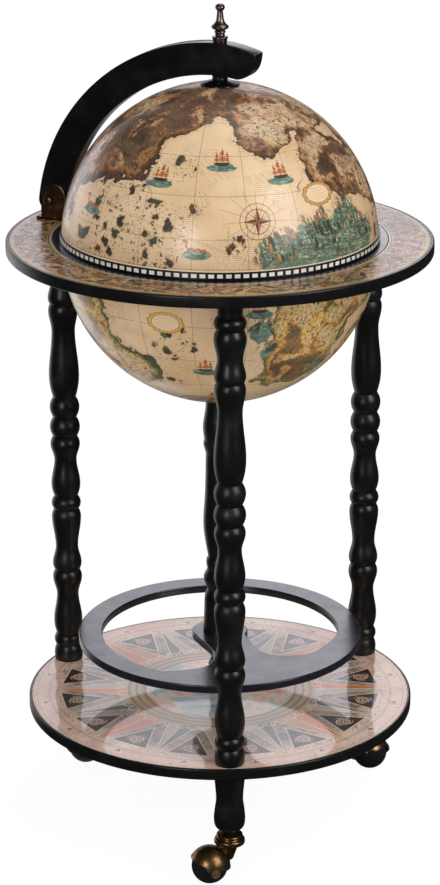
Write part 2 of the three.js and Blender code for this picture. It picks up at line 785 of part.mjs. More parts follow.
// Dome, its rim with the scale, and what hangs it from the arm
function dome() {
  const rimBottom = ringTop + seatGap;
  const rimTop = rimBottom + domeRimHeight;
  const rimOuter = globeRadius + domeRimProud;
  const rimInner = rimOuter - domeRimWall;
  const rim = points([
    [rimInner, rimBottom],
    [rimOuter, rimBottom],
    [rimOuter, rimTop],
    [rimInner, rimTop],
  ]);
  place(globeBar, "dome_rim", lathe(rim, globeSides), scaleLacquer);

  const shellRise = rimTop + seatGap - domeCentre;
  const foot = (radius) => THREE.MathUtils.radToDeg(Math.asin(shellRise / radius));
  const shell = [
    ...arc(0, domeCentre, globeRadius, foot(globeRadius), latitude(globeRadius, capRadius), globeSteps),
    ...points([[boltHole, domeTop], [boltHole, domeCeiling]]),
    ...arc(0, domeCentre, globeInner, latitude(globeInner, capRadius), foot(globeInner), globeSteps),
  ];
  place(globeBar, "dome_shell", lathe(shell, globeSides), mapPaper);
}

function poleFittings() {
  const capBottom = domeTop + seatGap;
  const capTop = capBottom + capHeight;
  const cap = points([
    [boltHole, capBottom],
    [capRadius, capBottom],
    [capRadius, capBottom + capEdge],
    [spacerRadius, capTop],
    [boltHole, capTop],
  ]);
  place(globeBar, "pole_cap", lathe(cap, discSides / 2), blackLacquer);

  const armBottom = domeCentre + armInner;
  const armTop = domeCentre + armOuter;
  const spacerBottom = capTop + seatGap;
  const spacerTop = armBottom - seatGap;
  const spacer = points([
    [boltHole, spacerBottom],
    [spacerRadius, spacerBottom],
    [spacerRadius, spacerTop],
    [boltHole, spacerTop],
  ]);
  place(globeBar, "pole_spacer", lathe(spacer, smallSides), blackLacquer);

  const finialBottom = armTop + seatGap;
  const boltTop = finialBottom + boltGrip;
  const finial = [
    ...turned(finialShares, finialBottom + finialLength, finialLength, finialRadius),
    ...points([[boltHole, finialBottom], [boltHole, boltTop + seatGap], [0, boltTop + seatGap]]),
  ];
  place(globeBar, "finial", lathe(finial, smallSides), darkBronze);

  const washerTop = domeCeiling - seatGap;
  const washerBottom = washerTop - washerThickness;
  const washer = points([
    [boltHole, washerBottom],
    [washerRadius, washerBottom],
    [washerRadius, washerTop],
    [boltHole, washerTop],
  ]);
  place(globeBar, "pole_washer", lathe(washer, smallSides), zincSteel);
  const nutTop = washerBottom - seatGap;
  const nutHole = circle(0, 0, boltHole, smallSides);
  const nut = board(circle(0, 0, nutRadius, nutSides), [nutHole], nutTop - nutHeight, nutHeight);
  place(globeBar, "pole_nut", nut, zincSteel);
  place(globeBar, "pole_bolt", rod(boltRadius, nutTop - nutHeight - boltTail, boltTop), zincSteel);
}

tableRing();
innerRim();
bowl();
deck();
legsAndCasters();
shelf();
bottleRing();
column();
const hinge = turnedGroup(globeBar, armTurn);
arm(hinge);
bracket(hinge);
dome();
poleFittings();

export default globeBar;
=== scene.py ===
import math

import bmesh
import bpy
from mathutils import Matrix, Vector, geometry, noise


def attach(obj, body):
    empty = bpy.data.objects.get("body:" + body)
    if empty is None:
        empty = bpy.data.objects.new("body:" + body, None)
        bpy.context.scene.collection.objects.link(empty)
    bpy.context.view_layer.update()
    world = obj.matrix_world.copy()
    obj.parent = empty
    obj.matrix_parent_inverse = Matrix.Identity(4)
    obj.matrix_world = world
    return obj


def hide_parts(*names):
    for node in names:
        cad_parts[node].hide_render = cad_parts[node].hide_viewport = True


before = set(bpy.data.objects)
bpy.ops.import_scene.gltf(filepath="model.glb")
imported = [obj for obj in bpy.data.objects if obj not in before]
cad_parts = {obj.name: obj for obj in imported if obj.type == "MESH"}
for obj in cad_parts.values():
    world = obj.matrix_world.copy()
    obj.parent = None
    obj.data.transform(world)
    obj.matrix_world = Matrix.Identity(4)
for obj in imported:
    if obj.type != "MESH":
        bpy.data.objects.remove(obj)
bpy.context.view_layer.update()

# Floor globe bar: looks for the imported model. Sizes in the dictionaries are millimetres and degrees.
mm = 0.001
degree = 180 / math.pi
scene = bpy.context.scene
print("frame:", len(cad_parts), "nodes")

photoView = {"lens": 122.55, "sensor": 36.0, "distance": 3.0262, "height": 1.4681, "down": 19.13, "clip": (0.05, 80)}


def makeCamera(view):
    data = bpy.data.cameras.new("photoCamera")
    data.lens, data.sensor_width = view["lens"], view["sensor"]
    data.clip_start, data.clip_end = view["clip"]
    camera = bpy.data.objects.new("photoCamera", data)
    camera.location = (0, -view["distance"], view["height"])
    camera.rotation_euler = (math.radians(90 - view["down"]), 0, 0)
    scene.collection.objects.link(camera)
    scene.camera = camera


makeCamera(photoView)


class Wire:
    # one output of a node; Python maths on it adds Math nodes, and its methods add the usual steps of a print
    def __init__(self, paint, socket):
        self.paint, self.socket = paint, socket

    def __add__(self, other): return self.paint.maths("ADD", self, other)
    def __radd__(self, other): return self.paint.maths("ADD", other, self)
    def __sub__(self, other): return self.paint.maths("SUBTRACT", self, other)
    def __rsub__(self, other): return self.paint.maths("SUBTRACT", other, self)
    def __mul__(self, other): return self.paint.maths("MULTIPLY", self, other)
    def __rmul__(self, other): return self.paint.maths("MULTIPLY", other, self)
    def __truediv__(self, other): return self.paint.maths("DIVIDE", self, other)
    def __rtruediv__(self, other): return self.paint.maths("DIVIDE", other, self)
    def __mod__(self, other): return self.paint.maths("FLOORED_MODULO", self, other)
    def __abs__(self): return self.paint.maths("ABSOLUTE", self)

    def rise(self, low, high, start=0.0, end=1.0):  # eases from start below low to end above high
        return self.paint.node("ShaderNodeMapRange", {"interpolation_type": "SMOOTHSTEP"},
                               {0: self, 1: low, 2: high, 3: start, 4: end})

    def fall(self, low, high):  # 1 below low, 0 above high
        return self.rise(low, high, 1, 0)

    def band(self, middle, half, soft):
        return abs(self - middle).fall(half - soft, half + soft)

    def near(self, step):  # distance to the nearest whole number of steps
        return abs((self + step / 2) % step - step / 2)

    def ruled(self, step, low, high):  # a line at every step, its width given in shares of the step
        return (self / step).near(1).fall(low, high)

    def lay(self, mask, tint):  # this colour with a tint laid over it where the mask is 1
        return self.paint.mix(mask, self, tint)

    def ramp(self, *stops):
        return self.paint.node("ShaderNodeValToRGB", {"stops": stops}, {0: self})


class Paint:
    # a node tree that short calls fill; a word given for a colour is looked up in the look
    def __init__(self, name, look=None, tree=None):
        self.look = look or {}
        if tree is None:
            self.material = bpy.data.materials.new(name)
            self.material.use_nodes = True
            tree = self.material.node_tree
            self.shader = tree.nodes["Principled BSDF"]
        self.tree = tree

    def tint(self, value):
        return self.look[value] if isinstance(value, str) else value

    def feed(self, socket, value):
        value = self.tint(value)
        if isinstance(value, Wire):
            self.tree.links.new(value.socket, socket)
        elif socket.type == "RGBA" and len(value) == 3:
            socket.default_value = (*value, 1)
        else:
            socket.default_value = value

    def node(self, kind, settings=None, sockets=None, out=0):
        made = self.tree.nodes.new(kind)
        for key, value in (settings or {}).items():
            if key == "stops":
                ramp, stops = made.color_ramp, list(value)
                while len(ramp.elements) < len(stops):
                    ramp.elements.new(0.5)
                for element, (place, tint) in zip(ramp.elements, stops):
                    element.position, element.color = place, (*self.tint(tint), 1)
            else:
                setattr(made, key, value)
        for key, value in (sockets or {}).items():
            self.feed(made.inputs[key], value)
        return Wire(self, made.outputs[out])

    def outs(self, wire, *names):  # other outputs of the same node
        outputs = wire.socket.node.outputs
        return [Wire(self, outputs[name]) for name in names or range(len(outputs))]

    def maths(self, operation, *values):
        return self.node("ShaderNodeMath", {"operation": operation}, dict(enumerate(values)))

    def vector(self, operation, *values, out=0):
        return self.node("ShaderNodeVectorMath", {"operation": operation}, dict(enumerate(values)), out)

    def spot(self, out=3):
        return self.node("ShaderNodeTexCoord", out=out)

    def split(self, vector):
        return self.outs(self.node("ShaderNodeSeparateXYZ", sockets={0: vector}))

    def join(self, x, y, z):
        return self.node("ShaderNodeCombineXYZ", sockets={0: x, 1: y, 2: z})

    def attribute(self, name, out=2):
        return self.node("ShaderNodeAttribute", {"attribute_name": name}, out=out)

    def both(self, one, other):
        return self.maths("MINIMUM", one, other)

    def either(self, one, other):
        return self.maths("MAXIMUM", one, other)

    def sine(self, turn):
        return self.maths("SINE", turn)

    def far(self, x, y):
        return self.maths("SQRT", x * x + y * y)

    def angle(self, y, x):
        return self.maths("ARCTAN2", y, x) * degree

    def oval(self, u, v, wide, high):  # 1 on the rim of an oval
        return self.maths("POWER", u / wide, 2.0) + self.maths("POWER", v / high, 2.0)

    def grain(self, where, scale, detail=4, rough=0.55, twist=0.0, out=0):
        return self.node("ShaderNodeTexNoise", None, {"Vector": where, "Scale": scale, "Detail": detail,
                                                      "Roughness": rough, "Distortion": twist}, out)

    def cells(self, where, scale, out=0):
        return self.node("ShaderNodeTexVoronoi", None, {"Vector": where, "Scale": scale}, out)

    def mix(self, factor, one, other):
        return self.node("ShaderNodeMix", {"data_type": "RGBA"}, {0: factor, 6: one, 7: other}, 2)

    def bump(self, height, strength, depth):
        return self.node("ShaderNodeBump", None, {"Strength": strength, "Distance": depth * mm, "Height": height})

    def rays(self):  # whether the camera, a reflection or a see-through surface looks
        path = self.node("ShaderNodeLightPath")
        return self.outs(path, "Is Camera Ray", "Is Glossy Ray", "Is Transmission Ray")

    def finish(self, color, rough, normal=None, **more):
        # what the look says of metal, specular and coat is set too
        said = {key: self.look[key] for key in socketNames if key in self.look}
        for key, value in {**said, **more, "color": color, "rough": rough, "normal": normal}.items():
            if value is not None:
                self.feed(self.shader.inputs[socketNames[key]], value)
        return self.material


socketNames = {"color": "Base Color", "rough": "Roughness", "metal": "Metallic", "normal": "Normal",
               "coat": "Coat Weight", "coatRough": "Coat Roughness", "specular": "Specular IOR Level",
               "coatIor": "Coat IOR"}
print("shader tools ready")


def lacquerPaint(name, look):
    # black paint on turned or cut wood: faint grain telegraphs through, dust dulls it in patches
    paint = Paint(name, look)
    spot = paint.spot()
    x, y, z = paint.split(spot)
    across, along = look["grainAcross"], look["grainAlong"]
    fibres = paint.grain(paint.join(x * across, y * across, z * along), 1.0, 5, 0.6)
    patches = paint.grain(spot, look["patchScale"], 4, 0.6)
    peel = paint.grain(spot, look["peelScale"], 2, 0.5)
    color = paint.mix(patches.rise(0.5, 0.75), "color", "dustColor").lay(fibres.rise(0.5, 0.72) * 0.6, "grainColor")
    rough = patches.rise(0.3, 0.75, look["rough"] - 0.05, look["rough"] + 0.07)
    height = fibres * look["grainDepth"] + peel * look["peelDepth"]
    return paint.finish(color, rough, paint.bump(height, look["bump"], 0.12))


def metalPaint(name, look):
    # cast metal under dark patina, rubbed brighter in patches
    paint = Paint(name, look)
    cloud = paint.grain(paint.spot(), look["cloudScale"], 5, 0.62)
    speck = paint.grain(paint.spot(), look["speckScale"], 3, 0.6)
    color = cloud.ramp((0.28, "dark"), (0.52, "color"), (0.78, "bright"))
    color = color.lay(speck.rise(0.56, 0.7) * look["pits"], "dark")
    rough = cloud.rise(0.25, 0.75, look["rough"] + 0.08, look["rough"] - 0.04)
    return paint.finish(color, rough, paint.bump(speck * 0.6 + cloud * 0.4, 0.06, 0.15))


def woodPaint(name, look):
    # stained veneer with long grain, darker pores and a thin varnish
    paint = Paint(name, look)
    x, y, z = paint.split(paint.spot())
    sway = paint.grain(paint.join(x * 2.2, y * 9, z * 9), 1.0, 3, 0.5)
    lines = paint.grain(paint.join(x * 7, (y + sway * 0.02) * 260, z * 160), 1.0, 5, 0.6)
    pores = paint.grain(paint.join(x * 60, y * 1300, z * 700), 1.0, 2, 0.5)
    color = lines.ramp((0.3, "dark"), (0.5, "color"), (0.72, "light")).lay(pores.rise(0.56, 0.68) * 0.6, "dark")
    return paint.finish(color, lines.rise(0.3, 0.7, 0.42, 0.3), paint.bump(lines * 0.4 + pores * 0.6, 0.3, 0.1))


def onGlobe(paint):
    # direction from the globe's centre, longitude, latitude, and mm for a degree of longitude
    centre = (0, 0, paint.look["centre"] * mm)
    out = paint.vector("NORMALIZE", paint.vector("SUBTRACT", paint.spot(), centre))
    x, y, z = paint.split(out)
    latitude = paint.maths("ARCSINE", z) * degree
    parallel = paint.maths("COSINE", latitude / degree) * paint.look["mmPerDegree"]
    return out, paint.angle(y, x), latitude, parallel


def mapPaint(name, look):
    # printed and varnished globe paper; coasts, shoals and small pictures come from the piece's own attributes
    paint = Paint(name, look)
    spot = paint.spot()
    perDegree = look["mmPerDegree"]
    out, longitude, latitude, parallel = onGlobe(paint)
    north, east = latitude * perDegree, longitude * parallel
    fine = paint.grain(spot, 150, 6, 0.66) - 0.5
    medium = paint.grain(spot, 46, 5, 0.6)
    broad = paint.grain(spot, 13, 4, 0.55)
    fibre = paint.grain(spot, 620, 3, 0.6)
    land = paint.attribute("land") + fine * 15.0 + (medium - 0.5) * 20
    shoal = paint.attribute("shoal") + fine * 9.0
    onLand, onWater, openSea = land.rise(-0.3, 0.3), land.fall(-0.3, 0.3), land.fall(-7, -3)

    # open sea: aged cream paper with brown stains
    color = broad.ramp((0.3, "seaDark"), (0.5, "sea"), (0.66, "seaLight")).lay(medium.rise(0.55, 0.72) * 0.22, "stain")

    # graticule, printed thin and a little broken
    lines = paint.either((longitude.near(20) * parallel).fall(0.16, 0.42),
                         (latitude.near(15) * perDegree).fall(0.16, 0.42))
    color = color.lay(lines * medium.rise(0.32, 0.5, 0.25, 0.75), "line")

    # sloping great circle with a dashed twin
    slope = paint.vector("DOT_PRODUCT", out, look["sloping"], out=1) * (perDegree * degree)
    dashes = abs((longitude * 1.5) % 2 - 1).rise(0.45, 0.55)
    track = paint.either(slope.band(0, 0.22, 0.14), slope.band(1.7, 0.5, 0.15) * dashes)
    color = color.lay(track * 0.6, "track")

    # engraved strokes that shade the water along the coasts
    broken = paint.grain(paint.join(longitude * 0.5, north, 0), 1.0, 3, 0.6).rise(0.42, 0.55)
    along = land.rise(-11, -3) * onWater
    color = color.lay(north.ruled(1.9, 0.08, 0.2) * broken * along * 0.85, "line")

    # patches of ruled dashes on the open sea
    pitch = 2.1
    gaps = paint.grain(paint.join(east * 0.26, paint.maths("FLOOR", north / pitch), 5), 1.0, 2, 0.5).rise(0.47, 0.52)
    zone = paint.grain(spot, 21, 2, 0.4).rise(0.55, 0.6) * land.fall(-6, -3)
    color = color.lay(north.ruled(pitch, 0.08, 0.16) * gaps * zone * 0.75, "line")

    # islands in clusters, dark and ragged, with a soft shore and specks round them
    swirl = paint.vector("SUBTRACT", paint.grain(spot, 70, 4, 0.65, out=1), (0.5, 0.5, 0.5))
    bent = paint.vector("ADD", spot, paint.vector("MULTIPLY", swirl, (0.019, 0.019, 0.019)))
    cluster = (paint.attribute("isles") + medium * 14 - 7).rise(-1, 7)
    apart = (1 - cluster) * 0.5
    distance = paint.cells(bent, 58) + apart + fine * 0.25
    islet = (paint.cells(bent, 135) + apart).fall(0.19, 0.27)
    dots = paint.cells(spot, 290).fall(0.16, 0.24) * cluster.rise(0.35, 0.8)
    tint = paint.grain(spot, 33, 2, 0.5).ramp((0.38, "coastGreen"), (0.46, "isle"), (0.56, "isle"), (0.64, "umber"))
    tint = tint.lay(fine.rise(0.0, 0.2) * 0.6, "isleLight")
    color = color.lay(distance.fall(0.28, 0.46) * openSea * 0.4, "stain")
    color = color.lay(paint.either(distance.fall(0.26, 0.34), islet * 0.85) * openSea, tint)
    color = color.lay(dots * openSea * 0.8, "isle")

    # green shoals: long wave strokes with foam, and reeds and small flags that rise over their upper edge
    wave = paint.grain(paint.join(east * 0.10, north * 0.34, 0), 1.0, 5, 0.7, 1.3)
    green = wave.ramp((0.36, "greenDark"), (0.46, "green"), (0.56, "greenLight"), (0.67, "foam"))
    green = green.lay(broad.rise(0.47, 0.55) * 0.45, "teal").lay(wave.band(0.47, 0.012, 0.008) * 0.85, "greenDark")
    color = color.lay((shoal + (medium - 0.5) * 20).rise(-1.5, 1.5) * onWater * 0.95, green)
    reedZone = shoal.rise(-12, -3) * paint.attribute("rise").rise(-6, 5) * onWater
    tall = paint.grain(paint.join(east * 0.34, north * 0.09, 3), 1.0, 4, 0.6, 0.8)
    stems = paint.cells(paint.join(east * 0.17 + (medium - 0.5) * 1.2, north * 0.062 + fine * 0.5, 0.5), 1.0)
    hue = paint.split(paint.outs(stems, 1)[0])[0]
    flags = hue.ramp((0.1, "greenDark"), (0.25, "coastGreen"), (0.34, "rust"), (0.5, "sail"), (0.68, "ochre"),
                     (0.8, "green"), (0.95, "foam"))
    color = color.lay(tall.rise(0.52, 0.56) * reedZone * 0.8, "greenDark")
    color = color.lay(stems.fall(0.38, 0.43) * reedZone * 0.9, "greenDark")
    color = color.lay(stems.fall(0.29, 0.35) * reedZone, flags)

    # land: aged paper with crisp washes of ochre, rust and umber, with relief, woods, hills and rivers
    rock = paint.grain(spot, 31, 6, 0.64, 0.9) + fine * 0.12
    dusk = (paint.attribute("dusk") + fine * 20).rise(-12, 12, -0.012, 0.105)
    wash = (rock + dusk).ramp(*zip((0.49, 0.54, 0.57, 0.60, 0.645), look["washes"]))
    tint = paint.grain(spot, 21, 3, 0.5, 0.4).ramp((0.36, "rose"), (0.47, "tan"), (0.56, "olive"), (0.66, "umber"))
    relief = paint.grain(paint.join(east * 0.34, north * 0.22, 9), 1.0, 5, 0.68, 0.8).rise(0.54, 0.58)
    woods = paint.cells(bent, 170).fall(0.24, 0.34) * medium.rise(0.5, 0.56)
    hills = paint.cells(bent, 110).band(0.36, 0.04, 0.02) * medium.fall(0.44, 0.5)
    rivers = medium.band(0.5, 0.007, 0.004) * land.rise(4, 9)
    wash = wash.lay(look["tinting"], tint).lay(relief * 0.75, "umberDark").lay(woods * 0.85, "umberDark")
    wash = wash.lay(hills * 0.85, "umber").lay(rivers * 0.7, "river")

    # coasts hatched dark towards the water
    hachure = paint.grain(paint.join(east * 0.5, north * 0.12, 9), 1.0, 4, 0.62, 0.6)
    inward = (land + (rock - 0.5) * 60 + (hachure - 0.5) * 18) / broad.rise(0.42, 0.6, *look["shore"])
    wash = wash.lay(inward.fall(0.82, 1.0) * 0.94, inward.ramp(*zip((0.0, 0.3, 0.62, 0.9), look["coasts"])))
    wash = wash.lay(east.ruled(2.3, 0.1, 0.2) * inward.fall(0.9, 1.6) * 0.5, "umberDark")
    color = color.lay(onLand, wash).lay(land.band(0.1, 0.42, 0.25) * 0.85, "umberDark")
    color = motifs(paint, color, fine, green)

    # border at the cut edge of the sheet, gore seams and overall ageing
    fromEdge = abs(latitude - look["edgeLatitude"]) * perDegree
    color = color.lay(fromEdge.fall(0.7, 1.1), "edgeLine").lay(fromEdge.band(2.1, 0.3, 0.15) * 0.7, "line")
    color = color.lay(fibre.rise(0.35, 0.7) * 0.14, "fibre")
    gore = (longitude.near(30) * parallel).fall(0.0, 0.5)
    normal = paint.bump(fibre * 0.25 + gore * 0.5 + medium * 0.3, 0.35, 0.12)
    coat = latitude.rise(48, 72, look["coat"], look["poleCoat"])
    return paint.finish(color, medium.rise(0.3, 0.7, 0.33, 0.45), normal, coat=coat)


def motifs(paint, color, fine, green):
    # small pictures around given points: u runs east and v north, in mm from the picture's centre
    u, v, away = (part / paint.look["pictureSize"] for part in paint.split(paint.attribute("picture", out=1)))
    near, wobble, kind = away.fall(15, 16), fine * 1.6, paint.attribute("kind")
    ship, serpent, rose, shield = (kind.band(number, 0.4, 0.1) for number in (1, 2, 3, 4))
    ship, serpent, shield = ship * near, serpent * near, shield * near

    # ship: water, hull and three masts with reefed sails
    water = paint.oval(u, v + 4.2 + wobble * 1.5, 9.5, 3.1) + fine * 2.2
    color = color.lay(water.fall(0.85, 1.1) * paint.either(ship, serpent), green)
    hull = paint.oval(u, v + 0.6, 5.2, 2.6).fall(0.9, 1.05) * v.fall(-0.7, -0.4)
    color = color.lay(hull * ship, "umberDark")
    cloth = paint.mix(v.ruled(2.1, 0.04, 0.14) * 0.6, "sail", "sailDark")
    for mast, tall, wide in ((0.2, 8.4, 2.3), (-3.4, 5.6, 1.7), (3.3, 6.2, 1.6)):
        edge = wide * (1 - v / (tall * 1.7)) - abs(u - mast + wobble * 0.5 + paint.sine(v * 1.3) * 0.3)
        sail = edge.rise(-0.15, 0.2) * v.rise(0.2, 0.5) * v.fall(tall - 0.3, tall)
        sail = sail * (1 - v.band(tall * 0.52, 0.3, 0.12))
        spar = u.band(mast, 0.22, 0.12) * v.fall(tall + 1.2, tall + 1.5) * v.rise(-0.8, -0.5)
        color = color.lay(sail * ship, cloth).lay(spar * ship * 0.9, "umberDark")

    # serpent: three humps and a raised head
    for middle, size in ((-3.8, 2.3), (0.4, 2.0), (4.2, 1.5)):
        hump = (paint.far(u - middle, v + 2.4) + wobble * 0.3).band(size, 0.62, 0.2) * v.rise(-3.2, -2.8)
        color = color.lay(hump * serpent, "serpent")
    neck = (u + v * 0.25 + paint.sine(v * 1.1) * 0.6).band(-6.4, 0.6, 0.2) * v.rise(-3.4, -3.0) * v.fall(4.6, 5.0)
    head = paint.oval(u + 8.2, v - 4.6, 1.9, 0.95).fall(0.8, 1.1)
    color = color.lay(paint.either(neck, head) * serpent, "serpent")

    # wind rose with rays, rings and long rhumb lines
    turn, reach = paint.angle(v, u), paint.far(u, v)
    rhumb = abs(fanned(paint, reach, turn, 22.5)[1]).fall(0.12, 0.34) * reach.fall(42, 52)
    color = color.lay(rhumb * rose * 0.55, "track")
    for fold, tip, base, bright in ((45, 7.2, 1.6, "seaLight"), (90, 10.5, 2.1, "rust")):
        ahead, aside = fanned(paint, reach, turn, fold)
        ray = ((1 - ahead / tip) * base - abs(aside)).rise(-0.05, 0.2)
        color = color.lay(ray * rose, paint.mix(aside.rise(-0.1, 0.1), "umberDark", bright))
    rings = paint.either(reach.band(8.0, 0.28, 0.12), reach.band(11.6, 0.22, 0.12))
    color = color.lay(rings * rose * 0.9, "umber")

    # framed oval panel, ruled but bare
    oval = paint.maths("SQRT", paint.oval(u, v, 12.5, 7.8))
    frilled = oval + paint.sine(turn * (16 / degree)) * 0.04
    color = color.lay(oval.fall(0.96, 1.0) * shield, "seaLight")
    color = color.lay(v.ruled(1.8, 0.04, 0.1) * oval.fall(0.6, 0.62) * shield * 0.5, "line")
    color = color.lay(frilled.band(0.88, 0.1, 0.02) * shield, "ochre")
    return color.lay(paint.either(frilled.band(0.99, 0.02, 0.01), oval.band(0.77, 0.015, 0.01)) * shield, "umberDark")


def polar(paint):
    # distance from the globe's axis in mm, and the angle about it in degrees
    x, y, z = paint.split(paint.spot())
    return paint.far(x, y) * 1000, paint.angle(y, x)


def fanned(paint, reach, turn, fold, shift=0.0):
    # one sector of a repeating fan: mm along and across its middle line
    local = ((turn + shift + fold / 2) % fold - fold / 2) / degree
    return paint.maths("COSINE", local) * reach, paint.sine(local) * reach


def flower(paint, ahead, aside, middle):
    # distance in mm and bearing in radians about a point on the sector's middle line
    up = ahead - middle
    return paint.far(aside, up), paint.maths("ARCTAN2", up, aside)


def ruledScale(paint, color, reach, turn, scale):
    # ruled rings and a degree scale
    for middle, half, tint in scale["rings"]:
        color = color.lay(reach.band(middle, half, scale["ringSoft"]) * scale["ringShare"], tint)
    for step, low, width in scale["ticks"]:
        aside = fanned(paint, reach, turn, step)[1]
        tick = abs(aside).fall(width, width + scale["tickSoft"]) * reach.rise(low, low + 0.2)
        color = color.lay(tick * reach.fall(scale["top"], scale["top"] + 0.3) * scale["tickShare"], scale["tickTint"])
    return color


def ringPaint(name, look):
    # printed band of the table: running vine with leaves and rosettes between ruled borders
    paint = Paint(name, look)
    spot, middle = paint.spot(), look["middle"]
    reach, turn = polar(paint)
    medium = paint.grain(spot, 55, 5, 0.6)
    broad = paint.grain(spot, 16, 4, 0.55)
    fine = paint.grain(spot, 260, 5, 0.65)
    color = broad.ramp((0.32, "paperDark"), (0.5, "paper"), (0.68, "paperLight"))
    color = color.lay(medium.rise(0.52, 0.7) * 0.35, "stain")

    # fine filigree behind the vine
    inside = reach.band(middle, 17.2, 0.4)
    mass = paint.grain(spot, 105, 6, 0.66, 1.2).rise(0.49, 0.51) * inside
    threads = paint.grain(spot, 120, 3, 0.5, 1.6).band(0.5, 0.022, 0.012) * inside
    color = color.lay(mass * 0.85, paint.mix(broad.rise(0.46, 0.56), "brown", "rust")).lay(threads * 0.85, "line")

    # vine, its thinner twin, and the leaves of each repeat
    wave = paint.sine(turn * (360 / look["repeat"] / degree))
    vine = (reach - middle - wave * 8.5).band(0, 0.95, 0.3)
    twin = (reach - middle + wave * 5.0).band(0, 0.5, 0.25)
    color = color.lay(twin * 0.8, "olive")
    for shift, lift, long, wide, lean, tint in look["leaves"]:
        ahead, aside = fanned(paint, reach, turn, look["repeat"], shift)
        up = ahead - middle - lift
        one = aside * math.cos(lean) + up * math.sin(lean)
        two = up * math.cos(lean) - aside * math.sin(lean)
        leaf = abs(two) - wide * (1 - paint.maths("POWER", one / long, 2.0)) + (fine - 0.5) * 1.2
        outline = leaf.band(0.1, 0.3, 0.15) * abs(one).fall(long, long + 0.6)
        vein = two.band(0, 0.16, 0.1) * abs(one).fall(long * 0.8, long)
        color = color.lay(leaf.fall(-0.25, 0.25), tint).lay(outline * 0.8, "dark").lay(vein * 0.7, "dark")
    color = color.lay(vine, "brown")

    # rosettes on every second bend
    size, bearing = flower(paint, *fanned(paint, reach, turn, 2 * look["repeat"], 14), middle)
    petal = paint.sine(bearing * 6.0)
    broadPetals = size - petal * 1.6
    color = color.lay(broadPetals.fall(7.6, 8.1), "dark").lay(broadPetals.fall(6.7, 7.1), "rosette")
    color = color.lay((size - petal * 0.8).fall(4.2, 4.6), "rust").lay(size.fall(1.9, 2.3), "ochre")

    # worn patches where the print has lost its brown
    color = color.lay((medium + (fine - 0.5) * 0.25).rise(0.58, 0.68) * 0.3, "paper")
    color = ruledScale(paint, color, reach, turn, look["scale"])
    return paint.finish(color, medium.rise(0.3, 0.7, 0.3, 0.4), paint.bump(medium * 0.5 + fine * 0.2, 0.12, 0.1))


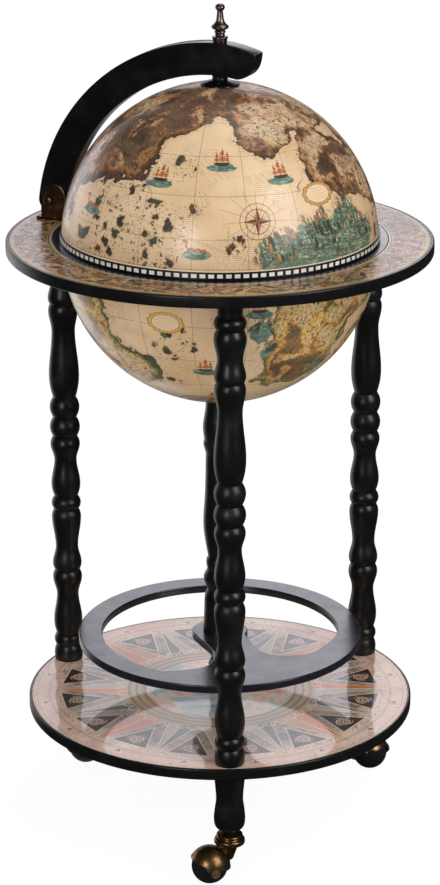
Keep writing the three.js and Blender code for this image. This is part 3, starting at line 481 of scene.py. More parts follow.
def shelfPaint(name, look):
    # large printed wind rose: clouded centre, gilt rings, star rays and dark pennants with rosettes
    paint = Paint(name, look)
    spot = paint.spot()
    reach, turn = polar(paint)
    medium = paint.grain(spot, 42, 5, 0.6)
    broad = paint.grain(spot, 12, 4, 0.55)
    fine = paint.grain(spot, 240, 5, 0.65)
    color = broad.ramp((0.3, "paperRose"), (0.5, "paper"), (0.68, "paperLight"))
    color = color.lay(medium.rise(0.52, 0.68) * 0.3, "stain")

    # shaded field behind the rays
    field = reach.rise(99, 101) * reach.fall(150, 176)
    tone = paint.grain(spot, 24, 3, 0.5).ramp((0.36, "sage"), (0.5, "grey"), (0.62, "rose"))
    threads = paint.grain(spot, 105, 3, 0.5, 1.6).band(0.5, 0.022, 0.012) * reach.rise(104, 106)
    knots = paint.grain(spot, 70, 4, 0.6, 0.8).rise(0.53, 0.58) * field
    color = color.lay(field * 0.75, tone).lay(threads * reach.rise(176, 186, 0.7, 0.25), "inkBrown")
    color = color.lay(knots * 0.6, "inkBrown")

    # dark pennants between the rays, each with a rosette
    ahead, aside = fanned(paint, reach, turn, 22.5, 11.25)
    shape = paint.both((ahead - look["pennantPoint"]) * look["pennantSlope"] - abs(aside), look["pennantTop"] - ahead)
    color = color.lay(shape.rise(-1.3, -0.9), "pale")
    color = color.lay(shape.rise(-0.1, 0.3), paint.mix(medium.rise(0.4, 0.65), "ink", "inkBrown"))
    size, bearing = flower(paint, ahead, aside, look["rosetteReach"])
    petal = paint.sine(bearing * 8.0)
    scroll = paint.sine(bearing * 3.0 + size * 1.1).rise(0.55, 0.8)
    color = color.lay((size + petal * 0.7).band(7.0, 0.55, 0.25), "pale")
    color = color.lay((size + petal * 0.5).band(4.3, 0.9, 0.25), "blush").lay(size.fall(1.3, 1.8), "pale")
    color = color.lay(size.band(9.6, 1.3, 0.3) * scroll * shape.rise(0.5, 1.0) * 0.8, "blush")

    # rays: short ones first, long ones over them; each is split into a light and a dark half
    for fold, shift, tip, base, halfAngle, light, dark in look["rays"]:
        ahead, aside = fanned(paint, reach, turn, fold, shift)
        edge = paint.both((tip - ahead) * (halfAngle / (tip - base)) - abs(aside), ahead - base + 4)
        body = paint.mix(aside.rise(-0.2, 0.2), light, dark).lay(fine.rise(0.45, 0.7) * 0.25, "ink")
        color = color.lay(edge.rise(-1.5, -1.1), "ink").lay(edge.rise(-1.1, -0.7), "pale")
        color = color.lay(edge.rise(0.0, 0.4), body).lay(aside.band(0, 0.5, 0.25) * edge.rise(0.0, 0.4), "pale")

    # scalloped chain round the gilt rings
    link = flower(paint, *fanned(paint, reach, turn, 7.5), 107)[0]
    color = color.lay(link.band(5.4, 0.7, 0.3) * reach.rise(104, 105), "pale").lay(link.fall(1.1, 1.5), "blush")

    # gilt rings and the clouded centre with a small sun
    rings = (reach / 110).ramp(*look["giltRings"]).lay(medium.rise(0.4, 0.7) * 0.35, "stain")
    sky = paint.grain(spot, 19, 5, 0.55, 0.9).ramp(*look["clouds"]).lay(fine.rise(0.5, 0.75) * 0.2, "stain")
    ahead, aside = fanned(paint, reach, turn, 30)
    sun = ((1 - ahead / 24) * 4.2 - abs(aside)).rise(-0.1, 0.4)
    color = color.lay(reach.fall(103.0, 103.5), rings).lay(reach.fall(81.0, 81.5), sky)
    color = color.lay(reach.band(81.6, 0.5, 0.2), "giltDark").lay(sun * 0.8, "giltLight")
    color = color.lay(reach.band(11, 0.5, 0.25), "giltDark")

    # outer margin: ruled lines, degree marks and small darts
    color = ruledScale(paint, color, reach, turn, look["scale"])
    ahead, aside = fanned(paint, reach, turn, 22.5, 11.25)
    dart = paint.both((ahead - 187) * 0.55 - abs(aside), 194 - ahead)
    blush = paint.grain(spot, 15, 3, 0.5).rise(0.5, 0.62) * reach.rise(183, 186)
    color = color.lay(dart.rise(-0.1, 0.3) * 0.8, "sageDark").lay(blush * 0.45, "blush")
    return paint.finish(color, medium.rise(0.3, 0.7, 0.28, 0.36), paint.bump(medium * 0.5 + fine * 0.1, 0.08, 0.1))


def liningPaint(name, look):
    # star chart paper inside the globe: hour lines, rings and small stars
    paint = Paint(name, look)
    spot = paint.spot()
    out, longitude, latitude, parallel = onGlobe(paint)
    medium = paint.grain(spot, 40, 5, 0.6)
    fibre = paint.grain(spot, 620, 3, 0.6)
    haze = paint.grain(spot, 17, 5, 0.6, 0.6)
    lines = paint.either((longitude.near(30) * parallel).fall(0.3, 0.6),
                         (latitude.near(30) * look["mmPerDegree"]).fall(0.3, 0.6))
    ring = paint.vector("DOT_PRODUCT", out, (0.0, 0.40, 0.917), out=1).band(0.5, 0.012, 0.002)
    color = paint.grain(spot, 12, 4, 0.55).ramp((0.3, "dark"), (0.5, "paper"), (0.7, "light"))
    color = color.lay(haze.rise(0.47, 0.6) * 0.55, "haze").lay(haze.band(0.5, 0.006, 0.004) * 0.7, "line")
    color = color.lay(lines * 0.75, "line").lay(ring * 0.6, "star")
    color = color.lay(paint.cells(spot, 55).fall(0.1, 0.14) * 0.95, "star")
    color = color.lay(paint.cells(spot, 150).fall(0.09, 0.14) * 0.8, "line").lay(medium.rise(0.5, 0.72) * 0.3, "dark")
    return paint.finish(color, 0.5, paint.bump(fibre * 0.6 + medium * 0.3, 0.3, 0.12))


def checkPaint(name, look):
    # cream checks of the scale, a little yellowed and rubbed
    paint = Paint(name, look)
    wear = paint.grain(paint.spot(), 130, 5, 0.65)
    color = paint.grain(paint.spot(), 24, 3, 0.5).ramp((0.3, "dark"), (0.5, "color"), (0.7, "light"))
    color = color.lay(wear.rise(0.56, 0.72) * 0.6, "worn")
    return paint.finish(color, wear.rise(0.3, 0.7, 0.3, 0.45), paint.bump(wear, 0.1, 0.1))


def ballPaint(name, look):
    # moulded black plastic with fine scuffs from rolling
    paint = Paint(name, look)
    scuff = paint.grain(paint.spot(), 420, 4, 0.7)
    marks = scuff.rise(0.58, 0.7) * paint.grain(paint.spot(), 60, 4, 0.6).rise(0.4, 0.6)
    rough = marks.rise(0, 1, look["rough"], look["rough"] + 0.2)
    return paint.finish(paint.mix(marks * 0.5, "color", "scuffed"), rough, paint.bump(scuff, 0.1, 0.05))


blackWood = {"color": (0.0032, 0.0030, 0.0032), "dustColor": (0.0085, 0.0080, 0.0080),
             "grainColor": (0.0070, 0.0060, 0.0056), "grainAcross": 900, "grainAlong": 60, "patchScale": 38,
             "peelScale": 520, "grainDepth": 0.5, "peelDepth": 0.5, "rough": 0.345, "specular": 0.5, "coat": 0.0,
             "coatRough": 0.2, "bump": 0.025}
blackBoard = dict(blackWood, grainAcross=420, grainAlong=420, rough=0.3, specular=0.4, bump=0.12, coatRough=0.16,
                  color=(0.0045, 0.0041, 0.0042), peelDepth=0.25, grainDepth=0.25)
blackPlate = dict(blackBoard, color=(0.010, 0.009, 0.017), dustColor=(0.012, 0.011, 0.020),
                  grainColor=(0.011, 0.010, 0.018), rough=0.25, specular=0.6, coat=0.32, coatRough=0.2, peelDepth=0.1,
                  grainDepth=0.1, bump=0.03)
blackArm = dict(blackBoard, rough=0.25, specular=0.66, color=(0.0016, 0.0014, 0.0015), dustColor=(0.003, 0.003, 0.003))
bronze = {"metal": 1.0, "dark": (0.036, 0.020, 0.010), "color": (0.120, 0.068, 0.034), "bright": (0.38, 0.24, 0.13),
          "cloudScale": 110, "speckScale": 700, "rough": 0.33, "pits": 0.35}
gunmetal = {"metal": 1.0, "dark": (0.075, 0.055, 0.050), "color": (0.25, 0.195, 0.18), "bright": (0.56, 0.47, 0.44),
            "cloudScale": 150, "speckScale": 900, "rough": 0.28, "pits": 0.2}
brass = {"metal": 1.0, "dark": (0.12, 0.066, 0.024), "color": (0.30, 0.178, 0.075), "bright": (0.60, 0.42, 0.25),
         "cloudScale": 110, "speckScale": 800, "rough": 0.31, "pits": 0.3}
cupBrass = dict(brass, color=(0.36, 0.215, 0.120), bright=(0.76, 0.55, 0.40), rough=0.24)
rubbed = dict(brass, metal=0.6, dark=(0.07, 0.045, 0.02), color=(0.17, 0.112, 0.05), bright=(0.34, 0.235, 0.12),
              rough=0.34)
steel = {"metal": 1.0, "dark": (0.20, 0.20, 0.20), "color": (0.45, 0.45, 0.44), "bright": (0.62, 0.62, 0.60),
         "cloudScale": 200, "speckScale": 1200, "rough": 0.3, "pits": 0.4}
veneer = {"dark": (0.022, 0.010, 0.006), "color": (0.070, 0.030, 0.015), "light": (0.13, 0.062, 0.030), "coat": 0.5,
          "coatRough": 0.2}
checks = {"dark": (0.64, 0.58, 0.49), "color": (0.80, 0.76, 0.69), "light": (0.86, 0.83, 0.78),
          "worn": (0.48, 0.40, 0.30), "coat": 0.6, "coatRough": 0.15}
plastic = {"color": (0.008, 0.009, 0.011), "scuffed": (0.045, 0.045, 0.048), "rough": 0.16, "specular": 0.6}
globePaper = {
    "centre": 641.5, "mmPerDegree": 2.88, "edgeLatitude": 4.0, "sloping": (0.36, 0.18, 0.915), "pictureSize": 1.55,
    "sea": (0.70, 0.49, 0.285), "seaLight": (0.76, 0.56, 0.35), "seaDark": (0.60, 0.40, 0.225),
    "stain": (0.46, 0.27, 0.13), "line": (0.17, 0.095, 0.05), "track": (0.24, 0.13, 0.065),
    "isle": (0.032, 0.017, 0.014), "isleLight": (0.12, 0.065, 0.04), "green": (0.052, 0.13, 0.082),
    "greenDark": (0.009, 0.032, 0.021), "greenLight": (0.16, 0.26, 0.18), "rust": (0.36, 0.105, 0.030),
    "foam": (0.60, 0.54, 0.38), "teal": (0.085, 0.21, 0.185), "river": (0.12, 0.09, 0.06), "shore": (5.0, 19.0),
    "washes": ((0.71, 0.51, 0.31), (0.62, 0.38, 0.19), (0.42, 0.150, 0.050), (0.110, 0.043, 0.028),
               (0.024, 0.012, 0.011)),
    "coasts": ((0.018, 0.010, 0.008), (0.045, 0.020, 0.014), (0.19, 0.065, 0.024), (0.50, 0.25, 0.075)),
    "ochre": (0.52, 0.27, 0.06), "rose": (0.33, 0.16, 0.11), "tan": (0.50, 0.30, 0.15), "olive": (0.20, 0.145, 0.06),
    "umber": (0.105, 0.046, 0.024), "umberDark": (0.038, 0.018, 0.012), "coastGreen": (0.040, 0.060, 0.030),
    "sail": (0.50, 0.16, 0.045), "sailDark": (0.24, 0.065, 0.025), "serpent": (0.34, 0.09, 0.035),
    "edgeLine": (0.80, 0.68, 0.50), "fibre": (0.52, 0.34, 0.18), "tinting": 0.25,
    "specular": 0.15, "coat": 1.0, "poleCoat": 0.38, "coatRough": 0.22, "coatIor": 1.5,
}
bowlPaper = dict(
    globePaper, centre=636.5, edgeLatitude=2.0, sloping=(-0.30, 0.25, 0.92), sea=(0.71, 0.49, 0.285),
    seaLight=(0.77, 0.56, 0.35), ochre=(0.66, 0.38, 0.06), tan=(0.62, 0.36, 0.10), seaDark=(0.68, 0.44, 0.20),
    coastGreen=(0.060, 0.115, 0.040), olive=(0.20, 0.20, 0.05), rust=(0.46, 0.17, 0.03), tinting=0.3,
    umberDark=(0.050, 0.030, 0.015), shore=(4.0, 12.0),
    washes=((0.74, 0.51, 0.24), (0.80, 0.48, 0.10), (0.68, 0.30, 0.055), (0.34, 0.135, 0.045), (0.11, 0.055, 0.028)),
    coasts=((0.040, 0.045, 0.020), (0.065, 0.115, 0.042), (0.20, 0.19, 0.055), (0.70, 0.42, 0.10)))
ringPaper = {
    "middle": 197.0, "paper": (0.47, 0.305, 0.13), "paperDark": (0.34, 0.20, 0.078), "paperLight": (0.60, 0.42, 0.21),
    "stain": (0.20, 0.10, 0.045), "line": (0.06, 0.03, 0.015), "olive": (0.12, 0.09, 0.035),
    "oliveDark": (0.055, 0.042, 0.02), "rust": (0.24, 0.058, 0.010), "brown": (0.030, 0.012, 0.006),
    "dark": (0.018, 0.008, 0.005), "green": (0.06, 0.07, 0.03), "rosette": (0.45, 0.28, 0.13),
    "ochre": (0.42, 0.20, 0.05), "pale": (0.58, 0.46, 0.32),
    "specular": 0.12, "coat": 0.56, "coatRough": 0.22, "coatIor": 1.5, "repeat": 20,
    "leaves": ((0, 9.5, 10.5, 3.9, 0.45, "rust"), (10, -9.5, 10.5, 3.9, -0.45, "rust"),
               (5, 3.5, 8.4, 2.7, -0.8, "brown"), (15, -3.5, 8.4, 2.7, 0.8, "brown"),
               (2.6, -11.8, 7.2, 2.4, 0.2, "green"), (12.6, 11.8, 7.2, 2.4, -0.2, "green"),
               (7.5, 12.0, 5.6, 1.9, 0.1, "brown"), (17.5, -12.0, 5.6, 1.9, 0.0, "brown")),
    "scale": {"rings": ((176.3, 0.5, "pale"), (178.0, 0.65, "oliveDark"), (180.0, 0.22, "line"),
                        (213.2, 0.22, "line"), (216.2, 0.25, "line"), (217.9, 0.5, "oliveDark")),
              "ringSoft": 0.18, "ringShare": 1.0, "ticks": ((2, 214.6, 0.2), (10, 213.4, 0.32)), "top": 216.0,
              "tickSoft": 0.22, "tickShare": 0.85, "tickTint": "dark"},
}
shelfPaper = {
    "paper": (0.67, 0.46, 0.36), "paperRose": (0.68, 0.40, 0.31), "paperLight": (0.75, 0.57, 0.47),
    "stain": (0.38, 0.21, 0.13), "sage": (0.17, 0.175, 0.115), "grey": (0.20, 0.165, 0.13), "rose": (0.30, 0.18, 0.13),
    "ink": (0.022, 0.016, 0.014), "inkBrown": (0.055, 0.034, 0.023), "pale": (0.68, 0.57, 0.44),
    "blush": (0.62, 0.31, 0.19), "rayPale": (0.36, 0.28, 0.20), "rayGrey": (0.10, 0.085, 0.065),
    "rayLight": (0.42, 0.34, 0.25), "raySage": (0.085, 0.095, 0.06), "rayRust": (0.60, 0.15, 0.022),
    "rayBlush": (0.52, 0.22, 0.10), "gilt": (0.34, 0.225, 0.10), "giltDark": (0.13, 0.08, 0.035),
    "giltLight": (0.49, 0.35, 0.18), "sky": (0.15, 0.29, 0.34), "skyLight": (0.31, 0.45, 0.46),
    "cloudRust": (0.36, 0.16, 0.10), "line": (0.10, 0.06, 0.04), "sageDark": (0.06, 0.07, 0.04),
    "pennantPoint": 126.0, "pennantSlope": 0.46, "pennantTop": 172.0, "rosetteReach": 158.0,
    "specular": 0.2, "coat": 0.8, "coatRough": 0.05, "coatIor": 1.5,
    "rays": ((22.5, 0.0, 166, 104, 13.5, "rayPale", "rayGrey"), (45, 22.5, 176, 102, 16.0, "rayLight", "raySage"),
             (90, 45.0, 186, 100, 21.0, "rayBlush", "rayRust"), (90, 0.0, 183, 100, 18.0, "rayLight", "rayRust")),
    "giltRings": ((0.0, "gilt"), (0.74, "giltDark"), (0.765, "gilt"), (0.8, "giltLight"), (0.835, "giltDark"),
                  (0.85, "giltLight"), (0.89, "gilt"), (0.905, "giltDark"), (0.93, "giltLight")),
    "clouds": ((0.3, "sky"), (0.44, "skyLight"), (0.52, "paperLight"), (0.6, "blush"), (0.7, "cloudRust")),
    "scale": {"rings": ((185.5, 0.35, "line"), (187.2, 0.2, "line"), (200.3, 0.25, "line"), (203.4, 0.45, "gilt")),
              "ringSoft": 0.2, "ringShare": 0.8, "ticks": ((2.5, 198.4, 0.22), (15, 196.4, 0.4)), "top": 200.0,
              "tickSoft": 0.25, "tickShare": 0.8, "tickTint": "line"},
}
liner = {"centre": 641.5, "mmPerDegree": 2.81, "dark": (0.44, 0.31, 0.19), "paper": (0.58, 0.44, 0.29),
         "light": (0.68, 0.54, 0.38), "line": (0.13, 0.075, 0.042), "star": (0.28, 0.085, 0.028),
         "haze": (0.30, 0.27, 0.19)}

paints = {
    "turned": lacquerPaint("blackTurnedWood", blackWood),
    "board": lacquerPaint("blackBoard", blackBoard),
    "plate": lacquerPaint("blackGlossPlate", blackPlate),
    "arm": lacquerPaint("blackArm", blackArm),
    "dome": mapPaint("globePaperNorth", globePaper),
    "bowl": mapPaint("globePaperSouth", bowlPaper),
    "domeLining": liningPaint("liningNorth", liner),
    "bowlLining": liningPaint("liningSouth", dict(liner, centre=636.5)),
    "ring": ringPaint("tablePrint", ringPaper),
    "shelf": shelfPaint("shelfPrint", shelfPaper),
    "scale": lacquerPaint("scaleBlack", dict(blackBoard, color=(0.0075, 0.0062, 0.0056))),
    "check": checkPaint("scaleChecks", checks),
    "bronze": metalPaint("darkBronze", bronze),
    "gunmetal": metalPaint("finialMetal", gunmetal),
    "brass": metalPaint("antiqueBrass", brass),
    "cup": metalPaint("cupBrass", cupBrass),
    "axle": metalPaint("rubbedBrass", rubbed),
    "steel": metalPaint("zincSteel", steel),
    "wood": woodPaint("deckVeneer", veneer),
    "ball": ballPaint("ballPlastic", plastic),
}
print("finishes:", len(paints))


def arc(middle, radius, start, end, steps):
    # points on an arc about a middle (across, height), in degrees from the outward direction
    turns = [math.radians(start + (end - start) * i / steps) for i in range(steps + 1)]
    return [(middle[0] + radius * math.cos(t), middle[1] + radius * math.sin(t)) for t in turns]


def circle(middle, radius, sides):
    return arc(middle, radius, 0, 360, sides)[:-1]


def bend(start, middle, end, steps):
    # a quadratic curve pulled towards its middle point
    return [tuple(s * (1 - t) ** 2 + m * 2 * t * (1 - t) + e * t ** 2 for s, m, e in zip(start, middle, end))
            for t in (i / steps for i in range(steps + 1))]


def curve(knots, steps):
    # the smooth curve through the knots that the CAD outlines use
    out, last = [knots[0]], len(knots) - 1
    for i in range(last):
        ends = [knots[max(i - 1, 0)], knots[i], knots[i + 1], knots[min(i + 2, last)]]
        for step in range(1, steps + 1):
            t = step / steps
            point = []
            for before, start, end, after in zip(*ends):
                slopeIn, slopeOut = (end - before) / 2, (after - start) / 2
                point.append((2 * start - 2 * end + slopeIn + slopeOut) * t ** 3
                             + (-3 * start + 3 * end - 2 * slopeIn - slopeOut) * t ** 2 + slopeIn * t + start)
            out.append(tuple(point))
    return out


def turnedOutline(shares, top, length, radius, steps=7):
    # from the top down: each stretch between two grooves is one smooth curve
    outline = []
    for stretch in shares:
        knots = [(out * radius, top - down * length) for down, out in stretch]
        outline += curve(knots, steps)[1 if outline else 0:]
    return outline


def beadedOutline(shares, top, length, radius, steps=7):
    # like turnedOutline, with round shoulders that rise steeply out of every groove
    outline = []
    for stretch in shares:
        last = len(stretch) - 2
        for i, ((down, out), (downNext, outNext)) in enumerate(zip(stretch, stretch[1:])):
            soft = min(0.78 + (downNext - down) * length / 60, 1.0)
            for step in range(1 if outline else 0, steps + 1):
                t = step / steps
                if i == 0 and outNext > out:
                    t = 1 - math.cos(math.pi / 2 * t)
                    rise = (1 - (1 - t) ** 2) ** soft
                elif i == last and outNext < out:
                    t = math.sin(math.pi / 2 * t)
                    rise = 1 - (1 - t ** 2) ** soft
                else:
                    rise = (1 - math.cos(math.pi * t)) / 2
                outline.append(((out + (outNext - out) * rise) * radius, top - (down + (downNext - down) * t) * length))
    return outline


def boxed(inner, outer, bottom, top):
    return [(inner, bottom), (outer, bottom), (outer, top), (inner, top)]


def neighbours(loop):
    # each point of a closed loop with the one before and the one after it
    for i, point in enumerate(loop):
        yield Vector(loop[i - 1]), Vector(point), Vector(loop[(i + 1) % len(loop)])


def softened(loop, cut, steps=3):
    # rounds each real corner of a closed loop; points on the axis stay sharp
    out = []
    for before, here, after in neighbours(loop):
        back, ahead = before - here, after - here
        if here.x == 0 or back.length < 1e-6 or ahead.length < 1e-6 or back.angle(-ahead) < 0.3:
            out.append(tuple(here))
            continue
        pull = min(cut, 0.45 * back.length, 0.45 * ahead.length)
        out += bend(here + back.normalized() * pull, here, here + ahead.normalized() * pull, steps)
    return out


def inset(loop, distance):
    # the closed loop moved to its left by a distance, with mitred corners
    out = []
    for before, here, after in neighbours(loop):
        one, two = (here - before).normalized(), (after - here).normalized()
        left, right = Vector((-one.y, one.x)), Vector((-two.y, two.x))
        push = (left + right) / max(1 + left.dot(right), 0.35)
        out.append(tuple(here + push * distance))
    return out


def newTree(name, inputs):
    tree = bpy.data.node_groups.new(name, "GeometryNodeTree")
    for label, kind in {"Geometry": "Geometry", **inputs, "Material": "Material"}.items():
        tree.interface.new_socket(label, in_out="INPUT", socket_type="NodeSocket" + kind)
    tree.interface.new_socket("Geometry", in_out="OUTPUT", socket_type="NodeSocketGeometry")
    build = Paint(name, tree=tree)
    given = {wire.socket.name: wire for wire in build.outs(build.node("NodeGroupInput"))}
    return build, given


def closeTree(build, given, shape):
    # every tree ends in Realize Instances and Set Material
    real = build.node("GeometryNodeRealizeInstances", sockets={0: shape})
    painted = build.node("GeometryNodeSetMaterial", sockets={0: real, 2: given["Material"]})
    end = build.tree.nodes.new("NodeGroupOutput")
    build.feed(end.inputs[0], painted)
    return build.tree


def aboutZ(build, angle):
    return build.node("FunctionNodeAxisAngleToRotation", sockets={"Axis": (0, 0, 1), "Angle": angle})


def makeLatheTree():
    # turns the chain of outline points (across = x, height = z) about the z axis
    build, given = newTree("turnedPiece", {"Sides": "Int", "Place": "Vector"})

    def whole(operation, *values):
        return build.node("FunctionNodeIntegerMath", {"operation": operation}, dict(enumerate(values)))

    count = build.node("GeometryNodeAttributeDomainSize", sockets={0: given["Geometry"]})
    grid = build.node("GeometryNodeMeshGrid", sockets={2: whole("ADD", given["Sides"], 1), 3: count})
    index = build.node("GeometryNodeInputIndex")
    row, column = whole("MODULO", index, count), whole("DIVIDE_FLOOR", index, count)
    point = build.node("GeometryNodeSampleIndex", {"data_type": "FLOAT_VECTOR", "domain": "POINT"},
                       {"Geometry": given["Geometry"], "Value": build.node("GeometryNodeInputPosition"), "Index": row})
    swung = build.node("ShaderNodeVectorRotate", {"rotation_type": "Z_AXIS"},
                       {"Vector": point, "Angle": column / given["Sides"] * (2 * math.pi)})
    skin = build.node("GeometryNodeSetPosition",
                      sockets={"Geometry": grid, "Position": build.vector("ADD", swung, given["Place"])})
    return closeTree(build, given, build.node("GeometryNodeMergeByDistance",
                                              sockets={"Geometry": skin, "Distance": 2e-6}))


def makeScaleTree():
    # a row of thin tiles set round a rim
    build, given = newTree("scaleTiles", {"Count": "Int", "Radius": "Float", "Height": "Float", "Tile": "Vector"})
    ring = build.node("GeometryNodeMeshCircle", sockets={"Vertices": given["Count"], "Radius": given["Radius"]})
    tile = build.node("GeometryNodeMeshCube",
                      sockets={"Size": given["Tile"], "Vertices X": 2, "Vertices Y": 4, "Vertices Z": 2})
    x, y, z = build.split(build.node("GeometryNodeInputPosition"))
    facing = aboutZ(build, build.maths("ARCTAN2", y, x))
    tiles = build.node("GeometryNodeInstanceOnPoints", sockets={"Points": ring, "Instance": tile, "Rotation": facing})
    real = build.node("GeometryNodeRealizeInstances", sockets={0: tiles})
    lift = build.join(0.0, 0.0, given["Height"])
    return closeTree(build, given, build.node("GeometryNodeSetPosition", sockets={"Geometry": real, "Offset": lift}))


def makeSlotTree():
    # cuts a driver slot into the head of a screw
    build, given = newTree("slottedHead", {"Cutter": "Vector", "Place": "Vector", "Turn": "Float"})
    box = build.node("GeometryNodeMeshCube", sockets={"Size": given["Cutter"]})
    cutter = build.node("GeometryNodeTransform", sockets={"Geometry": box, "Translation": given["Place"],
                                                          "Rotation": aboutZ(build, given["Turn"])})
    return closeTree(build, given, build.node("GeometryNodeMeshBoolean", {"operation": "DIFFERENCE", "solver": "EXACT"},
                                              {"Mesh 1": given["Geometry"], "Mesh 2": cutter}))


latheTree, scaleTree, slotTree = makeLatheTree(), makeScaleTree(), makeSlotTree()


def runTree(obj, tree, paint, values):
    # sets the inputs by identifier, then keeps the result as the object's own plain mesh
    modifier = obj.modifiers.new(tree.name, "NODES")
    modifier.node_group = tree
    ids = {item.name: item.identifier for item in tree.interface.items_tree if item.in_out == "INPUT"}
    for name, value in {**values, "Material": paints[paint]}.items():
        modifier[ids[name]] = value
    obj.update_tag()
    made = bpy.data.meshes.new_from_object(obj.evaluated_get(bpy.context.evaluated_depsgraph_get()))
    obj.modifiers.remove(modifier)
    obj.data = made
    return obj


def metres(point):
    return tuple(part * mm for part in point)


def addObject(name, points, edges=(), faces=()):
    mesh = bpy.data.meshes.new(name)
    mesh.from_pydata([metres(p) for p in points], list(edges), [tuple(f) for f in faces])
    obj = bpy.data.objects.new(name, mesh)
    scene.collection.objects.link(obj)
    return obj


def shaded(obj, angle=32.0):
    # closes seams, turns the faces outwards and keeps edges over the angle sharp
    work = bmesh.new()
    work.from_mesh(obj.data)
    bmesh.ops.remove_doubles(work, verts=work.verts, dist=2e-6)
    bmesh.ops.dissolve_degenerate(work, edges=work.edges, dist=1e-6)
    bmesh.ops.recalc_face_normals(work, faces=work.faces)
    work.to_mesh(obj.data)
    work.free()
    obj.data.shade_smooth()
    obj.data.set_sharp_from_angle(angle=math.radians(angle))
    return obj


def joined(parts):
    with bpy.context.temp_override(active_object=parts[0], selected_editable_objects=parts):
        bpy.ops.object.join()
    return parts[0]


def lathed(name, outline, paint, sides=96, place=(0, 0), matrix=None, angle=32.0):
    chain = [(across, 0, height) for across, height in outline]
    if outline[0][0] > 0 or outline[-1][0] > 0:
        chain.append(chain[0])
    obj = addObject(name, chain, [(i, i + 1) for i in range(len(chain) - 1)])
    runTree(obj, latheTree, paint, {"Sides": sides, "Place": metres((*place, 0.0))})
    if matrix is not None:
        obj.data.transform(matrix)
    return shaded(obj, angle)


def plate(name, outer, holes, bottom, top, edge, paint, matrix=None, edgeSteps=3, collar=0.4):
    # a flat board with rounded edges, cut from an outline with holes; a narrow collar keeps the flat sides flat
    def area(loop):
        return sum(loop[i - 1][0] * p[1] - p[0] * loop[i - 1][1] for i, p in enumerate(loop)) / 2

    loops = [outer if area(outer) > 0 else outer[::-1]] + [h[::-1] if area(h) > 0 else h for h in holes]
    turns = [math.pi / 2 * i / edgeSteps for i in range(edgeSteps + 1)]
    rounding = [(edge * (1 - math.sin(t)), edge * (1 - math.cos(t))) for t in turns]
    levels = [(edge + collar, bottom)] + [(back, bottom + rise) for back, rise in rounding]
    levels += [(back, top - rise) for back, rise in reversed(rounding)] + [(edge + collar, top)]
    points, faces, rims = [], [], {0: [], len(levels) - 1: []}
    for loop in loops:
        rows = []
        for level, (back, height) in enumerate(levels):
            rows.append(len(points))
            points += [(x, y, height) for x, y in inset(loop, back)]
            if level in rims:
                rims[level].append((rows[-1], len(loop)))
        for low, high in zip(rows, rows[1:]):
            for i in range(len(loop)):
                j = (i + 1) % len(loop)
                faces.append((low + i, low + j, high + j, high + i))
    for spans in rims.values():
        order = [start + i for start, count in spans for i in range(count)]
        rings = [[Vector((*metres(points[start + i][:2]), 0)) for i in range(count)] for start, count in spans]
        faces += [tuple(order[k] for k in triangle) for triangle in geometry.tessellate_polygon(rings)]
    obj = addObject(name, points, faces=faces)
    obj.data.materials.append(paints[paint])
    shaded(obj)
    for face in obj.data.polygons:
        if len(face.vertices) == 3:
            face.use_smooth = False
    if matrix is not None:
        obj.data.transform(matrix)
    return obj


def settle(obj, body, slot, *nodes):
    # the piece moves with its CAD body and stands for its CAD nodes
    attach(obj, body)
    if nodes:
        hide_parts(*nodes)
    return obj


def still(obj, slot, *nodes):
    return settle(obj, "frame", slot, *nodes)


table = {"top": 644.5, "bottom": 632.5, "radius": 222.5, "edge": 1.6, "bed": 219.0, "boardTop": 643.7, "bedBreak": 0.15,
         "sheetBottom": 644.0, "sheetBreak": 0.12, "bore": 166.5, "gap": 0.3, "rimRadius": 175.0, "rimSeat": 640.2,
         "rimInner": 160.5, "rimBottom": 640.5, "rimEdge": 0.9, "sides": 220, "rimSides": 200}


def boardEdge(size):
    # the rounded outer edge of a turned board, from below upwards
    middle, edge = size["radius"] - size["edge"], size["edge"]
    return arc((middle, size["bottom"] + edge), edge, -90, 0, 6) + arc((middle, size["top"] - edge), edge, 0, 90, 6)


def tableRing(size):
    top, gap, bore, bed, cut = (size[key] for key in ("top", "gap", "bore", "bed", "bedBreak"))
    rebate = size["rimRadius"] + gap
    outline = [(bore, size["bottom"]), *boardEdge(size), (bed + cut, top), (bed, top - cut), (bed, size["boardTop"]),
               (rebate, size["boardTop"]), (rebate, size["rimSeat"]), (bore, size["rimSeat"])]
    still(lathed("tableBoard", outline, "board", size["sides"]), "black_lacquer", "ring_table")
    low, cut, outer = size["sheetBottom"], size["sheetBreak"], bed - gap
    sheet = [(rebate, low), (outer, low), (outer, top - cut), (outer - cut, top), (rebate + cut, top),
             (rebate, top - cut)]
    still(lathed("tablePrint", sheet, "ring", size["sides"]), "ring_paper", "ring_print")
    rim = softened(boxed(size["rimInner"], size["rimRadius"], size["rimBottom"], top), size["rimEdge"], 4)
    still(lathed("bowlRim", rim, "plate", size["rimSides"]), "black_lacquer", "inner_rim")


tableRing(table)
print("table ring done")

